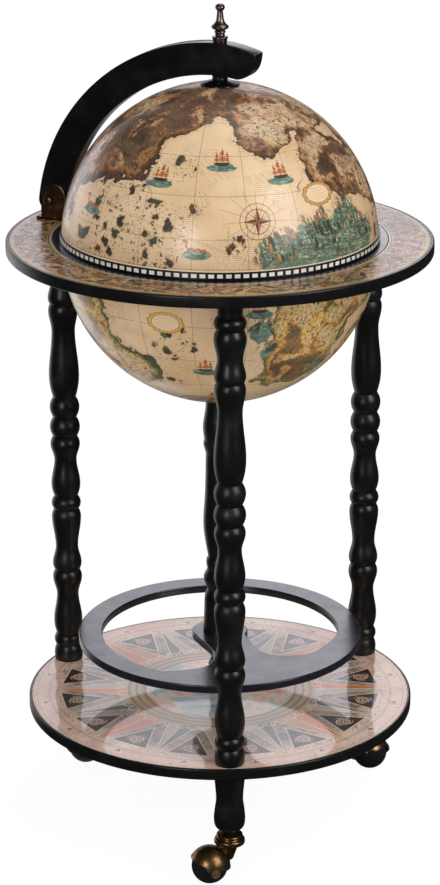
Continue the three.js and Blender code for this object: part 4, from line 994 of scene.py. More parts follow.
# lands, shoals and so on are (longitude, latitude, radius in degrees); pictures (longitude, latitude, kind)
globe = {"radius": 165.0, "inner": 161.0, "rimTop": 652.5, "gap": 0.3, "capRadius": 20.0, "padRadius": 18.0,
         "boltHole": 2.8, "bowlTop": 640.2, "steps": 60, "sides": 200}
northChart = {
    "centre": 641.5, "seed": 4.0,
    "land": [(-172, 58, 21), (-146, 48, 15), (-128, 66, 15), (-92, 78, 14), (-58, 58, 15), (-34, 44, 15), (-14, 30, 12),
             (6, 20, 10), (-30, 66, 22), (20, 50, 20), (55, 42, 24), (88, 52, 28), (120, 36, 22), (150, 50, 18),
             (158, 22, 12), (-158, 34, 10), (-174, 22, 13), (178, 4, 9), (20, 80, 11), (125, 82, 15), (160, 74, 12)],
    "shoal": [(-52, 9, 11), (-38, 14, 8), (-66, 7, 8), (-27, 9, 6), (40, 8, 12), (110, 10, 12)],
    "isles": [(-130, 27, 14), (-116, 15, 15), (-142, 12, 14), (-107, 40, 7), (-99, 27, 6), (-84, 13, 5), (75, 15, 14),
              (-10, 8, 9)],
    "dusk": [(-142, 46, 17), (-125, 66, 15), (-100, 80, 12), (-40, 80, 10), (-24, 32, 11), (70, 62, 16),
             (128, 30, 12)],
    "pictures": [(-116, 36, 1), (-89, 43, 1), (-63, 37, 1), (-98, 12, 2), (-76, 21, 3), (-146, 22, 2), (-48, 28, 4),
                 (60, 12, 1), (20, 12, 3), (135, 14, 4), (170, 8, 1)],
}
southChart = {
    "centre": 636.5, "seed": 11.0,
    "land": [(-152, -18, 17), (-138, -34, 13), (-163, -40, 15), (-60, -12, 14), (-46, -22, 16), (-58, -34, 10),
             (-30, -10, 13), (-16, -34, 12), (20, -20, 20), (60, -36, 18), (110, -18, 20), (140, -44, 16),
             (-100, -72, 16), (40, -70, 14)],
    "shoal": [(-74, -16, 5), (-68, -26, 5), (-40, -38, 6), (90, -14, 10), (160, -30, 9)],
    "isles": [(-108, -22, 10), (-118, -40, 9), (-90, -46, 8), (0, -24, 12), (80, -30, 10)],
    "dusk": [(-152, -18, 12), (-52, -32, 8), (-30, -16, 6), (30, -24, 12), (112, -24, 12)],
    "pictures": [(-96, -34, 1), (-110, -14, 4), (-84, -56, 2), (-10, -16, 1), (90, -40, 3), (170, -20, 1),
                 (-76, -8, 1)],
}


def heading(longitude, latitude):
    a, b = math.radians(longitude), math.radians(latitude)
    return Vector((math.cos(a) * math.cos(b), math.sin(a) * math.cos(b), math.sin(b)))


def rugged(direction, seed):
    # slow noise that breaks up the outlines of the coasts, in mm
    return noise.fractal(direction * 3.1 + Vector((seed, seed * 0.7, -seed)), 0.8, 2.2, 5) * 26


def degreesInside(direction, blob):
    return blob[1] - math.degrees(direction.angle(blob[0]))


def chartShell(obj, chart):
    # per point: mm inside land, shoal and so on, mm above the nearest shoal, and the place in the nearest picture
    radius, centre = globe["radius"], Vector((0, 0, chart["centre"] * mm))
    perDegree = math.pi * radius / 180
    roughness = {"land": 1, "shoal": 0.5, "isles": 0, "dusk": 1}
    blobs = {name: [(heading(a, b), size) for a, b, size in chart[name]] for name in roughness}
    pictures = []
    for longitude, latitude, kind in chart["pictures"]:
        middle, east = heading(longitude, latitude), heading(longitude + 90, 0)
        pictures.append((middle, east, middle.cross(east), kind))
    rows = {name: [] for name in (*roughness, "rise", "kind", "picture")}
    for vertex in obj.data.vertices:
        out = (vertex.co - centre).normalized()
        rough = rugged(out, chart["seed"])
        for name, share in roughness.items():
            inside = max(degreesInside(out, blob) * perDegree for blob in blobs[name])
            rows[name].append(inside + rough * share)
        shoal = max(blobs["shoal"], key=lambda blob: degreesInside(out, blob))[0]
        rows["rise"].append((math.asin(out.z) - math.asin(shoal.z)) * radius)
        middle, east, north, kind = max(pictures, key=lambda picture: out.dot(picture[0]))
        flat = out * radius
        rows["kind"].append(kind)
        rows["picture"] += [flat.dot(east), flat.dot(north), math.degrees(out.angle(middle)) * perDegree]
    for name, values in rows.items():
        kind, field = ("FLOAT_VECTOR", "vector") if name == "picture" else ("FLOAT", "value")
        obj.data.attributes.new(name, kind, "POINT").data.foreach_set(field, values)


def globeShell(name, outline, paint, chart, body, node):
    shell = lathed(name, outline, paint, globe["sides"])
    chartShell(shell, chart)
    shell.data.materials.append(paints[paint + "Lining"])
    lining = len(shell.data.materials) - 1
    middle, limit = Vector((0, 0, chart["centre"] * mm)), (globe["radius"] + globe["inner"]) / 2 * mm
    for face in shell.data.polygons:
        if (face.center - middle).length < limit:  # the inner skin gets the lining
            face.material_index = lining
    settle(shell, body, "globe_paper", node)


def padHeight(sphere, radius):
    # how far from the centre a flat pad of this radius cuts the sphere
    return math.sqrt(sphere ** 2 - radius ** 2)


def latitudeAt(sphere, height):
    return math.degrees(math.asin(height / sphere))


def globeShells(size):
    outer, inner, bolt, steps = size["radius"], size["inner"], size["boltHole"], size["steps"]
    centre = northChart["centre"]
    foot = size["rimTop"] + size["gap"] - centre
    roof, ceiling = padHeight(outer, size["capRadius"]), padHeight(inner, size["capRadius"])
    outline = arc((0, centre), outer, latitudeAt(outer, foot), latitudeAt(outer, roof), steps)
    outline += [(bolt, centre + roof), (bolt, centre + ceiling)]
    outline += arc((0, centre), inner, latitudeAt(inner, ceiling), latitudeAt(inner, foot), steps // 2)
    globeShell("domeShell", outline, "dome", northChart, "dome", "dome_shell")

    centre = southChart["centre"]
    base, floor = padHeight(outer, size["padRadius"]), padHeight(inner, size["padRadius"])
    outline = [(bolt, centre - floor), (bolt, centre - base)]
    outline += arc((0, centre), outer, -latitudeAt(outer, base), 0, steps)
    outline += [(outer, size["bowlTop"]), (inner, size["bowlTop"])]
    outline += arc((0, centre), inner, 0, -latitudeAt(inner, floor), steps // 2)
    globeShell("bowlShell", outline, "bowl", southChart, "frame", "lower_bowl")


globeShells(globe)

scale = {"inner": 160.0, "outer": 166.2, "bottom": 644.8, "top": 652.5, "edge": 0.7, "sides": 240, "count": 120,
         "tile": (0.5, 5.6, 3.9), "tileHeight": 649.2, "proud": 0.1}


def domeRim(size):
    outline = softened(boxed(size["inner"], size["outer"], size["bottom"], size["top"]), size["edge"], 3)
    settle(lathed("domeRim", outline, "scale", size["sides"]), "dome", "scale_lacquer", "dome_rim")
    tiles = addObject("scaleChecks", [(0, 0, 0)])
    radius = size["outer"] - size["tile"][0] / 2 + size["proud"]
    runTree(tiles, scaleTree, "check", {"Count": size["count"], "Radius": radius * mm,
                                        "Height": size["tileHeight"] * mm, "Tile": metres(size["tile"])})
    settle(shaded(tiles), "dome", "scale_lacquer", "dome_rim")


domeRim(scale)
print("globe done")


def around(radius, turn):
    a = math.radians(turn)
    return radius * math.cos(a), radius * math.sin(a)


deck = {"top": 614.5, "bottom": 605.5, "radius": 157.09, "bottleHole": 50.0, "glassHole": 36.14, "glassCircle": 98.14,
        "turns": (30, 150, 270), "edge": 1.5}


def glassDeck(size):
    holes = [circle((0, 0), size["bottleHole"], 96)]
    holes += [circle(around(size["glassCircle"], turn), size["glassHole"], 80) for turn in size["turns"]]
    outline = circle((0, 0), size["radius"], 180)
    board = plate("glassDeck", outline, holes, size["bottom"], size["top"], size["edge"], "wood")
    still(board, "deck_wood", "glass_deck")


glassDeck(deck)

largeScrew = {"head": 7.0, "shank": 2.5, "dome": 2.6, "slot": (16.0, 1.3, 2.4), "turn": 38, "sides": 40}
smallScrew = dict(largeScrew, head=3.4, shank=1.6, dome=1.4, slot=(8.0, 0.8, 1.2))
screwHead = ((0, 0), (0.55, 0.12), (0.88, 0.45), (1, 0.8))
screws = {"seatGap": 0.3, "bowlTip": 448.5, "shelfSeat": 121.4, "shelfTip": 157.7, "hingeTip": 636.1}


def panScrew(name, node, paint, slot, seat, tip, size, place=(0, 0), matrix=None):
    # head up when the tip lies below the seat, head down otherwise
    drop = size["dome"] if tip < seat else -size["dome"]
    top, shank = seat + drop, size["shank"]
    outline = curve([(out * size["head"], top - down * drop) for out, down in screwHead], 4)
    outline += [(size["head"], seat), (shank, seat), (shank, tip), (0, tip)]
    obj = lathed(name, outline, paint, size["sides"], place)
    runTree(obj, slotTree, paint, {"Cutter": metres(size["slot"]), "Place": metres((*place, top)),
                                   "Turn": math.radians(size["turn"])})
    shaded(obj)
    if matrix is not None:
        obj.data.transform(matrix)
    still(obj, slot, node)


bowlSeat = southChart["centre"] - padHeight(globe["inner"], globe["padRadius"]) + screws["seatGap"]
panScrew("bowlScrew", "bowl_screw", "steel", "zinc_steel", bowlSeat, screws["bowlTip"], largeScrew)
panScrew("shelfScrew", "shelf_screw", "steel", "zinc_steel", screws["shelfSeat"], screws["shelfTip"], largeScrew)
print("deck done")


def grooved(*rows):
    # each row of an outline ends in the groove that starts the next one
    return [row + after[:1] for row, after in zip(rows, rows[1:])] + [rows[-1]]


# points are shares of length and radius, from the top down
stand = {"circle": 190.0, "first": -87.0, "names": ("front", "right", "left"), "tenon": (8.0, 8.0), "sides": 72}
legShares = grooved(
    [(0, 0.78), (0.02, 0.77)],
    [(0.033, 0.77), (0.047, 1)],
    [(0.061, 0.83), (0.08, 1), (0.124, 0.79), (0.158, 0.98)],
    [(0.171, 0.84), (0.186, 0.97), (0.233, 0.77), (0.333, 1)],
    [(0.383, 0.75), (0.405, 0.99)],
    [(0.429, 0.76), (0.451, 1)],
    [(0.473, 0.78), (0.49, 0.98), (0.527, 0.74), (0.583, 0.97)],
    [(0.612, 0.77), (0.628, 0.98)],
    [(0.642, 0.8), (0.66, 0.98), (0.73, 0.75), (0.77, 0.97)],
    [(0.786, 0.81), (0.803, 0.98), (0.844, 0.73), (0.906, 0.96)],
    [(0.938, 0.78), (0.952, 0.95)],
    [(0.965, 0.8), (0.984, 0.96), (1, 0.91)],
)
footShares = [[(0, 1), (0.18, 0.93), (0.43, 0.86), (0.62, 0.95), (0.77, 1), (0.9, 0.93), (0.97, 0.66), (1, 0.45)]]
columnShares = grooved(
    [(0, 0.8), (0.06, 0.86), (0.13, 1)],
    [(0.185, 0.92), (0.205, 0.97)],
    [(0.24, 0.83), (0.4, 0.88), (0.55, 0.98)],
    [(0.68, 0.7), (0.7, 0.82)],
    [(0.735, 0.74), (0.77, 0.97)],
    [(0.82, 0.75), (0.85, 0.9), (0.93, 0.95), (1, 1)],
)
columnLowerShares = grooved(
    [(0, 1), (0.12, 0.95), (0.3, 0.74)],
    [(0.42, 0.8), (0.5, 1)],
    [(0.58, 0.82), (0.75, 0.86), (0.9, 0.98), (1, 1)],
)
turnings = {  # shares, top, length, radius
    "leg": (legShares, 632.2, 498.2, 16.4),
    "foot": (footShares, 121.4, 64.9, 16.4),
    "columnUpper": (columnShares, 472.2, 268.4, 18.2),
    "columnLower": (columnLowerShares, 194.7, 60.7, 12.6),
}


def turnedWood(name, node, turning, place=(0, 0)):
    shares, top, length, radius = turnings[turning]
    outline, shape = [(0, top)], turnedOutline
    if turning == "leg":
        wide, high = stand["tenon"]
        outline, shape = [(0, top + high), (wide, top + high), (wide, top)], beadedOutline
    outline += shape(shares, top, length, radius) + [(0, top - length)]
    still(lathed(name, outline, "turned", stand["sides"], place, angle=38.0), "black_lacquer", node)


legPlaces = [around(stand["circle"], stand["first"] + 120 * i) for i in range(3)]
for side, place in zip(stand["names"], legPlaces):
    turnedWood("leg_" + side + "_turned", "leg_" + side, "leg", place)
    turnedWood("foot_" + side + "_turned", "foot_" + side, "foot", place)
turnedWood("columnUpper", "column_upper", "columnUpper")
turnedWood("columnLower", "column_lower", "columnLower")
print("turned wood done")

shelf = {"top": 133.7, "bottom": 121.7, "radius": 208.2, "edge": 1.8, "bed": 205.2, "boardTop": 132.9, "break": 0.1,
         "sheetBottom": 133.2, "gap": 0.3, "sides": 220}


def lowerShelf(size):
    top, bed, cut, outer = size["top"], size["bed"], size["break"], size["bed"] - size["gap"]
    outline = [(0, size["bottom"]), *boardEdge(size), (bed + cut, top), (bed, top - cut), (bed, size["boardTop"]),
               (0, size["boardTop"])]
    still(lathed("lowerShelf", outline, "board", size["sides"]), "black_lacquer", "lower_shelf")
    sheet = [(0, size["sheetBottom"]), (outer, size["sheetBottom"]), (outer, top - cut), (outer - cut, top), (0, top)]
    still(lathed("shelfPrint", sheet, "shelf", size["sides"]), "shelf_paper", "shelf_print")


lowerShelf(shelf)

bottleRing = {"top": 203.5, "bottom": 195.0, "radius": 153.3, "opening": 128.0, "hub": 30.0, "edge": 1.1,
              "bandTurns": (-118, -362), "hubTurns": (-24, 208),
              "right": [(0.953, -0.195), (0.867, -0.356), (0.772, -0.49), (0.625, -0.552), (0.477, -0.552),
                        (0.356, -0.477), (0.281, -0.344)],
              "left": [(-0.156, -0.234), (-0.108, -0.332), (-0.055, -0.477), (-0.06, -0.64), (-0.11, -0.77),
                       (-0.254, -0.845)]}


def ringPlate(size):
    # the opening runs along the band, down the web's right side, round the hub and up the web's left side
    reach = size["opening"]
    right, left = ([(x * reach, y * reach) for x, y in size[side]] for side in ("right", "left"))
    band, hub = arc((0, 0), reach, *size["bandTurns"], 120), arc((0, 0), size["hub"], *size["hubTurns"], 48)
    opening = band + curve([band[-1], *right, hub[0]], 6)[1:] + hub[1:] + curve([hub[-1], *left, band[0]], 6)[1:-1]
    outline = circle((0, 0), size["radius"], 180)
    board = plate("bottleRing", outline, [opening], size["bottom"], size["top"], size["edge"], "plate")
    still(board, "black_lacquer", "bottle_ring")


ringPlate(bottleRing)
print("shelf and bottle ring done")

# arm and hinge are laid out in the arm's own plane: across = away from the pole, height = up
arm = {"turn": 156.0, "centre": 641.5, "inner": 174.5, "outer": 208.0, "width": 18.0, "edge": 1.2,
       "pivot": (193.38, 665.8), "pinHole": 3.8, "foot": 13.2, "inset": 7.0, "depth": 33.5}
nose = {"top": (-1.31, 0.75), "topBend": (-0.66, 0.99), "endBend": (-1.3, 0.02), "low": (-0.66, -0.07),
        "inner": (-0.24, 0)}
upright = Matrix.Rotation(math.radians(90), 4, "X")
armTurned = Matrix.Rotation(math.radians(arm["turn"]), 4, "Z")
armPlane = armTurned @ upright


def meridianArm(size):
    centre, inner, outer, pivot = (0, size["centre"]), size["inner"], size["outer"], size["pivot"]
    tip = {key: (x * size["depth"], centre[1] + inner + y * size["depth"]) for key, (x, y) in nose.items()}
    innerAngle, outerAngle = (latitudeAt(radius, pivot[1] - centre[1]) for radius in (inner, outer))
    noseAngle = 90 - latitudeAt(inner, tip["inner"][0])
    underside = arc(centre, inner, noseAngle, innerAngle, 80)
    footLow, footIn = pivot[1] - size["foot"], underside[-1][0]
    outline = arc(pivot, size["foot"], -90, 0, 16) + arc(centre, outer, outerAngle, 90, 80)[1:]
    outline += bend((0, centre[1] + outer), tip["topBend"], tip["top"], 14)[1:]
    outline += bend(tip["top"], tip["endBend"], tip["low"], 16)[1:] + underside
    outline += [(footIn, footLow + size["inset"]), (footIn + size["inset"], footLow)]
    half, hole = size["width"] / 2, circle(pivot, size["pinHole"], 32)
    board = plate("meridianArm", outline, [hole], -half, half, size["edge"], "arm", armPlane, 4)
    settle(board, "lid", "black_lacquer", "meridian_arm")


meridianArm(arm)

bracket = {"cheek": (188.18, 670.6), "radius": 14.4, "thick": 2.5, "bottom": 644.8, "tab": 6.4, "armHalf": 9.3,
           "edge": 0.8, "corner": 2.5, "pin": 3.5, "pinHead": 5.4, "headHeight": 2.9, "gap": 0.3,
           "screws": {"inner": 181.18, "outer": 202.28}, "screwHole": 1.9}


def pinOutline(head, radius, seat):
    # a pin with the same head at both ends
    return [(across, -height) for across, height in reversed(head)] + [(radius, -seat), (radius, seat)] + head


def hingeBracket(size):
    middle, low, thick = size["cheek"], size["bottom"], size["thick"]
    left, right, wide = middle[0] - size["radius"], middle[0] + size["radius"], size["armHalf"] + thick
    outline = [(left, low), (right, low), *arc(middle, size["radius"], 0, 180, 48)]
    hole = circle(arm["pivot"], arm["pinHole"], 32)
    parts = [plate(name, outline, [hole], start, start + thick, size["edge"], "bronze", armPlane, 2)
             for name, start in (("cheek0", -wide), ("cheek1", size["armHalf"]))]
    base = softened([(left, -wide), (right + size["tab"], -wide), (right + size["tab"], wide), (left, wide)],
                    size["corner"], 5)
    holes = [circle((x, 0), size["screwHole"], 24) for x in size["screws"].values()]
    parts.append(plate("hingeBase", base, holes, low, low + thick, size["edge"], "bronze", armTurned, 2))
    whole = joined(parts)
    whole.name = "hingeBracket"
    still(whole, "dark_bronze", "hinge_bracket")

    seat, height, cap = wide + size["gap"], size["headHeight"], size["pinHead"]
    head = curve([(cap, seat), (cap * 0.86, seat + height * 0.6), (cap * 0.5, seat + height * 0.92),
                  (0, seat + height)], 4)
    onPivot = armPlane @ Matrix.Translation((*metres(arm["pivot"]), 0))
    pin = lathed("hingePin", pinOutline(head, size["pin"], seat), "bronze", 40, matrix=onPivot)
    still(pin, "dark_bronze", "hinge_pin")
    for label, x in size["screws"].items():
        panScrew("hingeScrew_" + label, "hinge_screw_" + label, "bronze", "dark_bronze", low + thick + size["gap"],
                 screws["hingeTip"], smallScrew, (x, 0), armTurned)


hingeBracket(bracket)
print("arm and hinge done")

pole = {"hole": 2.8, "capRadius": 20.0, "capBottom": 805.58, "capTop": 810.58, "capEdge": 1.2, "spacer": 8.4,
        "armBottom": 816.0, "gap": 0.3, "washer": (12.0, 1.5), "nut": (5.5, 4.0), "spacerEdge": (0.5, 0.6),
        "waist": 0.7, "capSoft": 0.8, "washerSoft": 0.3, "nutSoft": 0.4, "finialBottom": 849.8,
        "finialLength": 39.0, "finialRadius": 8.95}
finialShares = grooved(
    [(0, 0), (0.013, 0.28), (0.05, 0.485), (0.1, 0.565), (0.15, 0.485)],
    [(0.178, 0.37), (0.21, 0.34), (0.42, 0.46), (0.53, 0.7), (0.585, 0.97), (0.615, 1), (0.655, 0.88)],
    [(0.7, 0.5), (0.715, 0.6), (0.745, 0.65), (0.775, 0.57)],
    [(0.785, 0.48), (0.8, 0.55), (0.82, 0.57)],
    [(0.845, 0.5), (0.86, 0.8), (0.885, 0.93), (0.93, 0.85), (1, 0.8)],
)


def poleFittings(size):
    hole, gap, wide, low = size["hole"], size["gap"], size["spacer"], size["capBottom"]
    cap = [(hole, low), (size["capRadius"], low), (size["capRadius"], low + size["capEdge"]), (wide, size["capTop"]),
           (hole, size["capTop"])]
    settle(lathed("poleCap", softened(cap, size["capSoft"], 4), "arm", 80), "lid", "black_lacquer", "pole_cap")
    low, high = size["capTop"] + gap, size["armBottom"] - gap
    back, rise = size["spacerEdge"]
    spacer = [(hole, low), (wide - back, low), (wide, low + rise), (wide - size["waist"], (low + high) / 2),
              (wide, high - rise), (wide - back, high), (hole, high)]
    settle(lathed("poleSpacer", spacer, "plate", 60), "lid", "black_lacquer", "pole_spacer")
    low, length = size["finialBottom"], size["finialLength"]
    outline = turnedOutline(finialShares, low + length, length, size["finialRadius"], 6) + [(0, low)]
    settle(lathed("finialKnob", outline, "gunmetal", 64, angle=50.0), "lid", "dark_bronze", "finial")
    top = northChart["centre"] + padHeight(globe["inner"], size["capRadius"]) - gap
    wide, thick = size["washer"]
    washer = softened(boxed(hole, wide, top - thick, top), size["washerSoft"], 2)
    settle(lathed("poleWasher", washer, "steel", 60), "lid", "zinc_steel", "pole_washer")
    top -= thick + gap
    wide, thick = size["nut"]
    outline, bore = circle((0, 0), wide, 6), circle((0, 0), hole, 32)
    nut = plate("poleNut", outline, [bore], top - thick, top, size["nutSoft"], "steel", None, 2)
    settle(nut, "lid", "zinc_steel", "pole_nut")


poleFittings(pole)
print("pole fittings done")

caster = {"ball": 19.0, "clear": 1.1, "wall": 1.6, "trail": 21.6, "turns": (197.0, -61.7, 39.0), "swivelTop": 41.7,
          "plate": 3.2, "swivelRadius": 9.0, "pin": 3.5, "pinTop": 50.7, "hornTip": 4.4, "hornEnd": 23.5,
          "hornBend": (2.4, 33.5), "hornStep": 0.8, "far": 9.5, "horn": -1.9, "ear": 6.0, "earSide": 5.6,
          "earDip": -2.0, "earSlope": 1.88, "cupTop": 56.2, "cupHeight": 14.2, "cupRadius": 16.0, "stem": 4.0,
          "stemTop": 78.5, "socket": (3.8, 51.0), "axle": 1.7, "axleCap": 4.9, "gap": 0.3, "bore": 2.0, "seam": 0.18,
          "voxel": 0.42, "bead": 0.5}
cupShares = [[(0, 0.41), (0.1, 0.55), (0.27, 0.85), (0.47, 0.8), (0.62, 0.98), (0.9, 1), (1, 0.9)]]
axleHead = ((1, 0), (1, 1.1), (0.95, 1.5), (0.84, 1.55), (0.74, 0.9))  # share of the cap's radius, mm above its seat
axleDish = ((0.7, 0.8), (0.4, 1.0), (0, 1.05))


def hoodShell(size, around=96, up=26):
    # closed shell over the ball; its lower edge slopes up away from the horn and dips to an ear at each axle end
    inner = size["ball"] + size["clear"]
    outer = inner + size["wall"]
    slope, middle = (size["far"] - size["horn"]) / (2 * size["ball"]), (size["far"] + size["horn"]) / 2
    points = []
    for skin in (outer, inner):
        for i in range(around):
            a, z = 2 * math.pi * i / around, 0.0
            for _ in range(12):
                x = math.sqrt(outer ** 2 - z ** 2) * math.cos(a)
                beyond = abs(x) - size["earSide"]
                dip = -math.sqrt(max(size["ear"] ** 2 - x ** 2, 0))
                z = min(middle + slope * x, dip if beyond < 0 else size["earDip"] + size["earSlope"] * beyond)
            low = math.asin(z / outer)
            for k in range(up + 1):
                b = low + (math.pi / 2 - low) * k / up
                wide = skin + (size["bead"] * math.exp(-(k / 1.1) ** 2) if skin == outer else 0)
                points.append((size["trail"] + wide * math.cos(b) * math.cos(a), wide * math.cos(b) * math.sin(a),
                               size["ball"] + wide * math.sin(b)))
    row, faces = up + 1, []
    for i in range(around):
        j = (i + 1) % around
        for start in (0, around * row):
            one, two = start + i * row, start + j * row
            faces += [(one + k, two + k, two + k + 1, one + k + 1) for k in range(up)]
        faces.append((i * row, j * row, (around + j) * row, (around + i) * row))
    return points, faces


def hornShape(size):
    # swivel plate, pin and the horn that runs down into the hood
    top, wide, tip, end = size["swivelTop"], size["swivelRadius"], size["hornTip"], size["hornEnd"]
    low, (bendOut, bendHeight) = top - size["plate"], size["hornBend"]
    outline = [(0, size["pinTop"]), (size["pin"], size["pinTop"]), (size["pin"], top), (wide, top)]
    outline += bend((wide, low), (tip + bendOut, bendHeight), (tip, end + 2), 10) + [(tip * 0.7, end), (0, end - 1)]
    dense = []
    for one, two in zip(outline, outline[1:]):
        count = max(1, int(math.dist(one, two) / size["hornStep"]))
        dense += [tuple(a + (b - a) * i / count for a, b in zip(one, two)) for i in range(count)]
    return dense + [outline[-1]]


def makeHood(size):
    # horn and shell fused into one casting, kept out of the ball's space
    horn = lathed("hoodCasting", hornShape(size), "brass", 48)
    middle, keep = Vector((size["trail"], 0, size["ball"])) * mm, (size["ball"] + size["clear"]) * mm
    for vertex in horn.data.vertices:
        away = vertex.co - middle
        if away.length < keep:
            vertex.co = middle + away.normalized() * keep
    points, faces = hoodShell(size)
    joined([horn, shaded(addObject("hoodShell", points, faces=faces))])
    fused = horn.modifiers.new("fuse", "REMESH")
    fused.mode, fused.voxel_size = "VOXEL", size["voxel"] * mm
    relaxed = horn.modifiers.new("relax", "SMOOTH")
    relaxed.factor, relaxed.iterations = 0.5, 5
    made = bpy.data.meshes.new_from_object(horn.evaluated_get(bpy.context.evaluated_depsgraph_get()))
    bpy.data.objects.remove(horn)
    made.materials.clear()
    made.materials.append(paints["brass"])
    return made


hoodMesh = makeHood(caster)


def addCaster(size, side, turn, place):
    here = Matrix.Translation((*metres(place), 0)) @ Matrix.Rotation(math.radians(turn), 4, "Z")
    hood = bpy.data.objects.new("casterHood_" + side, hoodMesh.copy())
    scene.collection.objects.link(hood)
    hood.data.transform(here)
    hood.data.shade_smooth()
    settle(hood, "swivel_" + side, "antique_brass", "caster_hood_" + side)

    top, stem, stemTop, (socket, socketTop) = size["cupTop"], size["stem"], size["stemTop"], size["socket"]
    outline = [(0, stemTop), (stem, stemTop), (stem, top)]
    outline += turnedOutline(cupShares, top, size["cupHeight"], size["cupRadius"])
    outline += [(socket, top - size["cupHeight"]), (socket, socketTop), (0, socketTop)]
    cup = lathed("casterCup_" + side, outline, "cup", 64, matrix=here, angle=45.0)
    still(cup, "antique_brass", "caster_cup_" + side)

    # ball turned about its axle, with a moulding seam round its middle
    ball, bore, steps = size["ball"], size["bore"], 60
    reach, outline = math.sqrt(ball ** 2 - bore ** 2), []
    for k in range(steps + 1):
        along = -reach + 2 * reach * k / steps
        out = math.sqrt(max(ball ** 2 - along ** 2, bore ** 2))
        outline.append((out - (size["seam"] if k == steps // 2 else 0.0), along))
    onAxle = here @ Matrix.Translation(metres((size["trail"], 0, ball))) @ upright
    roller = lathed("casterBall_" + side, outline, "ball", 72, matrix=onAxle, angle=60.0)
    settle(roller, "ball_" + side, "ball_plastic", "caster_ball_" + side)

    seat, cap = ball + size["clear"] + size["wall"] + size["gap"], size["axleCap"]
    rim, dish = ([(cap * out, seat + up) for out, up in shape] for shape in (axleHead, axleDish))
    outline = pinOutline(rim + curve(dish, 3), size["axle"], seat)
    axle = lathed("casterAxle_" + side, outline, "axle", 40, matrix=onAxle)
    settle(axle, "swivel_" + side, "antique_brass", "caster_axle_" + side)


for side, turn, place in zip(stand["names"], caster["turns"], legPlaces):
    addCaster(caster, side, turn, place)
for name in ("leg_stud_front", "leg_stud_right", "leg_stud_left", "column_stud", "pole_bolt"):
    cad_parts[name].data.materials.clear()
    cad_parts[name].data.materials.append(paints["steel"])
print("casters done")

# pale floor and a bright backdrop, its turns in degrees from straight behind; lamp azimuths are from the front
studio = {"world": 0.62, "front": 0.03, "back": 1.80, "left": -62, "leftSoft": 16, "right": 11, "rightSoft": 5,
          "high": 33, "highSoft": 7, "low": 8, "lowSoft": 3, "sideFull": -30, "sideEnd": -20, "sideLow": 6,
          "sideHigh": 20, "leftShare": 0.93, "rightShare": 1.2, "backTint": (0.94, 0.925, 1.0),
          "floorColor": (0.80, 0.79, 0.78), "floorSize": 40.0, "floorLight": 1.06, "floorSide": 1.2, "floorBack": 0.4,
          "floorFront": 0.04, "shadowShare": 0.1, "glossShare": 0.95}
lamps = [
    {"name": "keyRight", "azimuth": 51, "elevation": 28, "distance": 2.6, "size": (1.1, 1.7), "power": 30},
    {"name": "fillLeft", "azimuth": -23, "elevation": 15, "distance": 2.9, "size": (0.8, 1.3), "power": 18},
    {"name": "top", "azimuth": 140, "elevation": 72, "distance": 2.6, "size": (1.4, 1.4), "power": 9},
]
lampAim = Vector((0, 0, 0.5))


def backdrop(turn, size):
    # about 1 straight behind the piece, falling off to both sides
    fromLeft = turn.rise(size["left"] - size["leftSoft"], size["left"] + size["leftSoft"])
    toRight = turn.fall(size["right"] - size["rightSoft"], size["right"] + size["rightSoft"])
    return fromLeft * toRight * turn.rise(-5, 5, size["leftShare"], size["rightShare"])


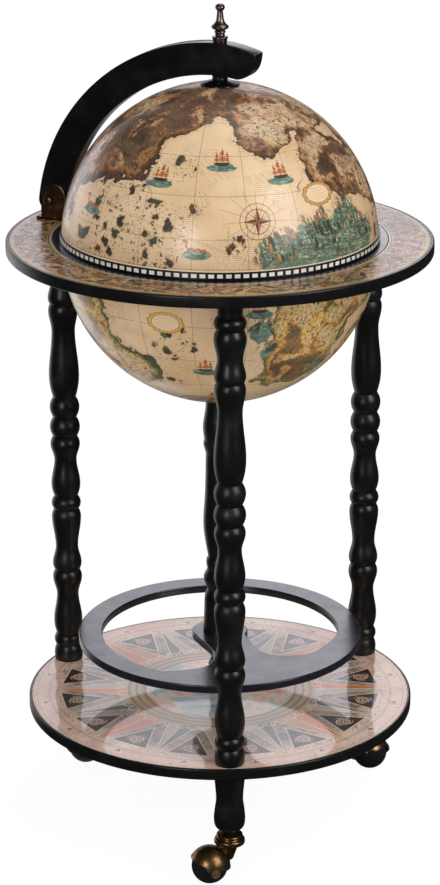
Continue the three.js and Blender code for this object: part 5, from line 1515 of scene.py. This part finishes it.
def makeWorld(size):
    world = bpy.data.worlds.new("studio")
    world.use_nodes = True
    scene.world = world
    build = Paint("studio", size, world.node_tree)
    camera, glossy, through = build.rays()
    x, y, z = build.split(build.spot(out=0))
    turn, height = build.angle(x, y), build.angle(z, build.far(x, y))
    side = turn.fall(size["sideFull"], size["sideEnd"])
    above = build.either(height.rise(size["low"] - size["lowSoft"], size["low"] + size["lowSoft"]), side)
    below = height.fall(size["high"] - size["highSoft"], size["high"] + size["highSoft"])
    below = below * (1 - side * height.rise(size["sideLow"], size["sideHigh"]))
    behind = size["front"] + backdrop(turn, size) * below * above * (size["back"] - size["front"])
    seen = build.either(camera, through)
    plain = (1 - build.either(seen, glossy)) * size["world"]
    ground = world.node_tree.nodes["Background"].inputs
    build.feed(ground["Color"], build.mix(glossy, (1.0, 1.0, 1.0), "backTint"))
    build.feed(ground["Strength"], seen + glossy * behind + plain)


def makeFloor(size):
    half = size["floorSize"] / mm / 2
    floor = addObject("studioFloor", [(-half, -half, 0), (half, -half, 0), (half, half, 0), (-half, half, 0)],
                      faces=[(0, 1, 2, 3)])
    paint = Paint("studioFloor", size)
    camera, glossy, through = paint.rays()
    tone = paint.grain(paint.spot(), 3, 3, 0.5)
    paint.finish(paint.mix(tone, "floorColor", tuple(c * 0.98 for c in size["floorColor"])), 0.9, specular=0.0)
    x, y, z = paint.split(paint.spot())
    turn = paint.angle(x, y)
    side = turn.rise(size["sideFull"], size["sideEnd"], size["floorSide"], 0) * y.rise(-0.2, 0.7)
    back = y.rise(0.0, 1.4) * size["floorBack"]
    behind = (size["floorFront"] + paint.either(back, side)) * backdrop(turn, size)
    light = camera * size["floorLight"] + (1 - camera) * behind
    bright = paint.node("ShaderNodeEmission", None, {"Color": (1, 1, 1), "Strength": light})
    share = paint.either(camera, through) * (1 - size["shadowShare"]) + glossy * size["glossShare"]
    plain = Wire(paint, paint.shader.outputs[0])
    shown = paint.node("ShaderNodeMixShader", None, {0: share, 1: plain, 2: bright})
    paint.feed(paint.tree.nodes["Material Output"].inputs["Surface"], shown)
    floor.data.materials.append(paint.material)


def addLamp(look):
    data = bpy.data.lights.new(look["name"], "AREA")
    data.shape, data.energy = "RECTANGLE", look["power"]
    data.size, data.size_y = look["size"]
    lamp = bpy.data.objects.new(look["name"], data)
    way = heading(look["azimuth"] - 90, look["elevation"])
    lamp.location = lampAim + way * look["distance"]
    lamp.rotation_euler = (-way).to_track_quat("-Z", "Y").to_euler()
    scene.collection.objects.link(lamp)


makeWorld(studio)
makeFloor(studio)
for look in lamps:
    addLamp(look)
scene.view_settings.view_transform = "Standard"
print("studio done")
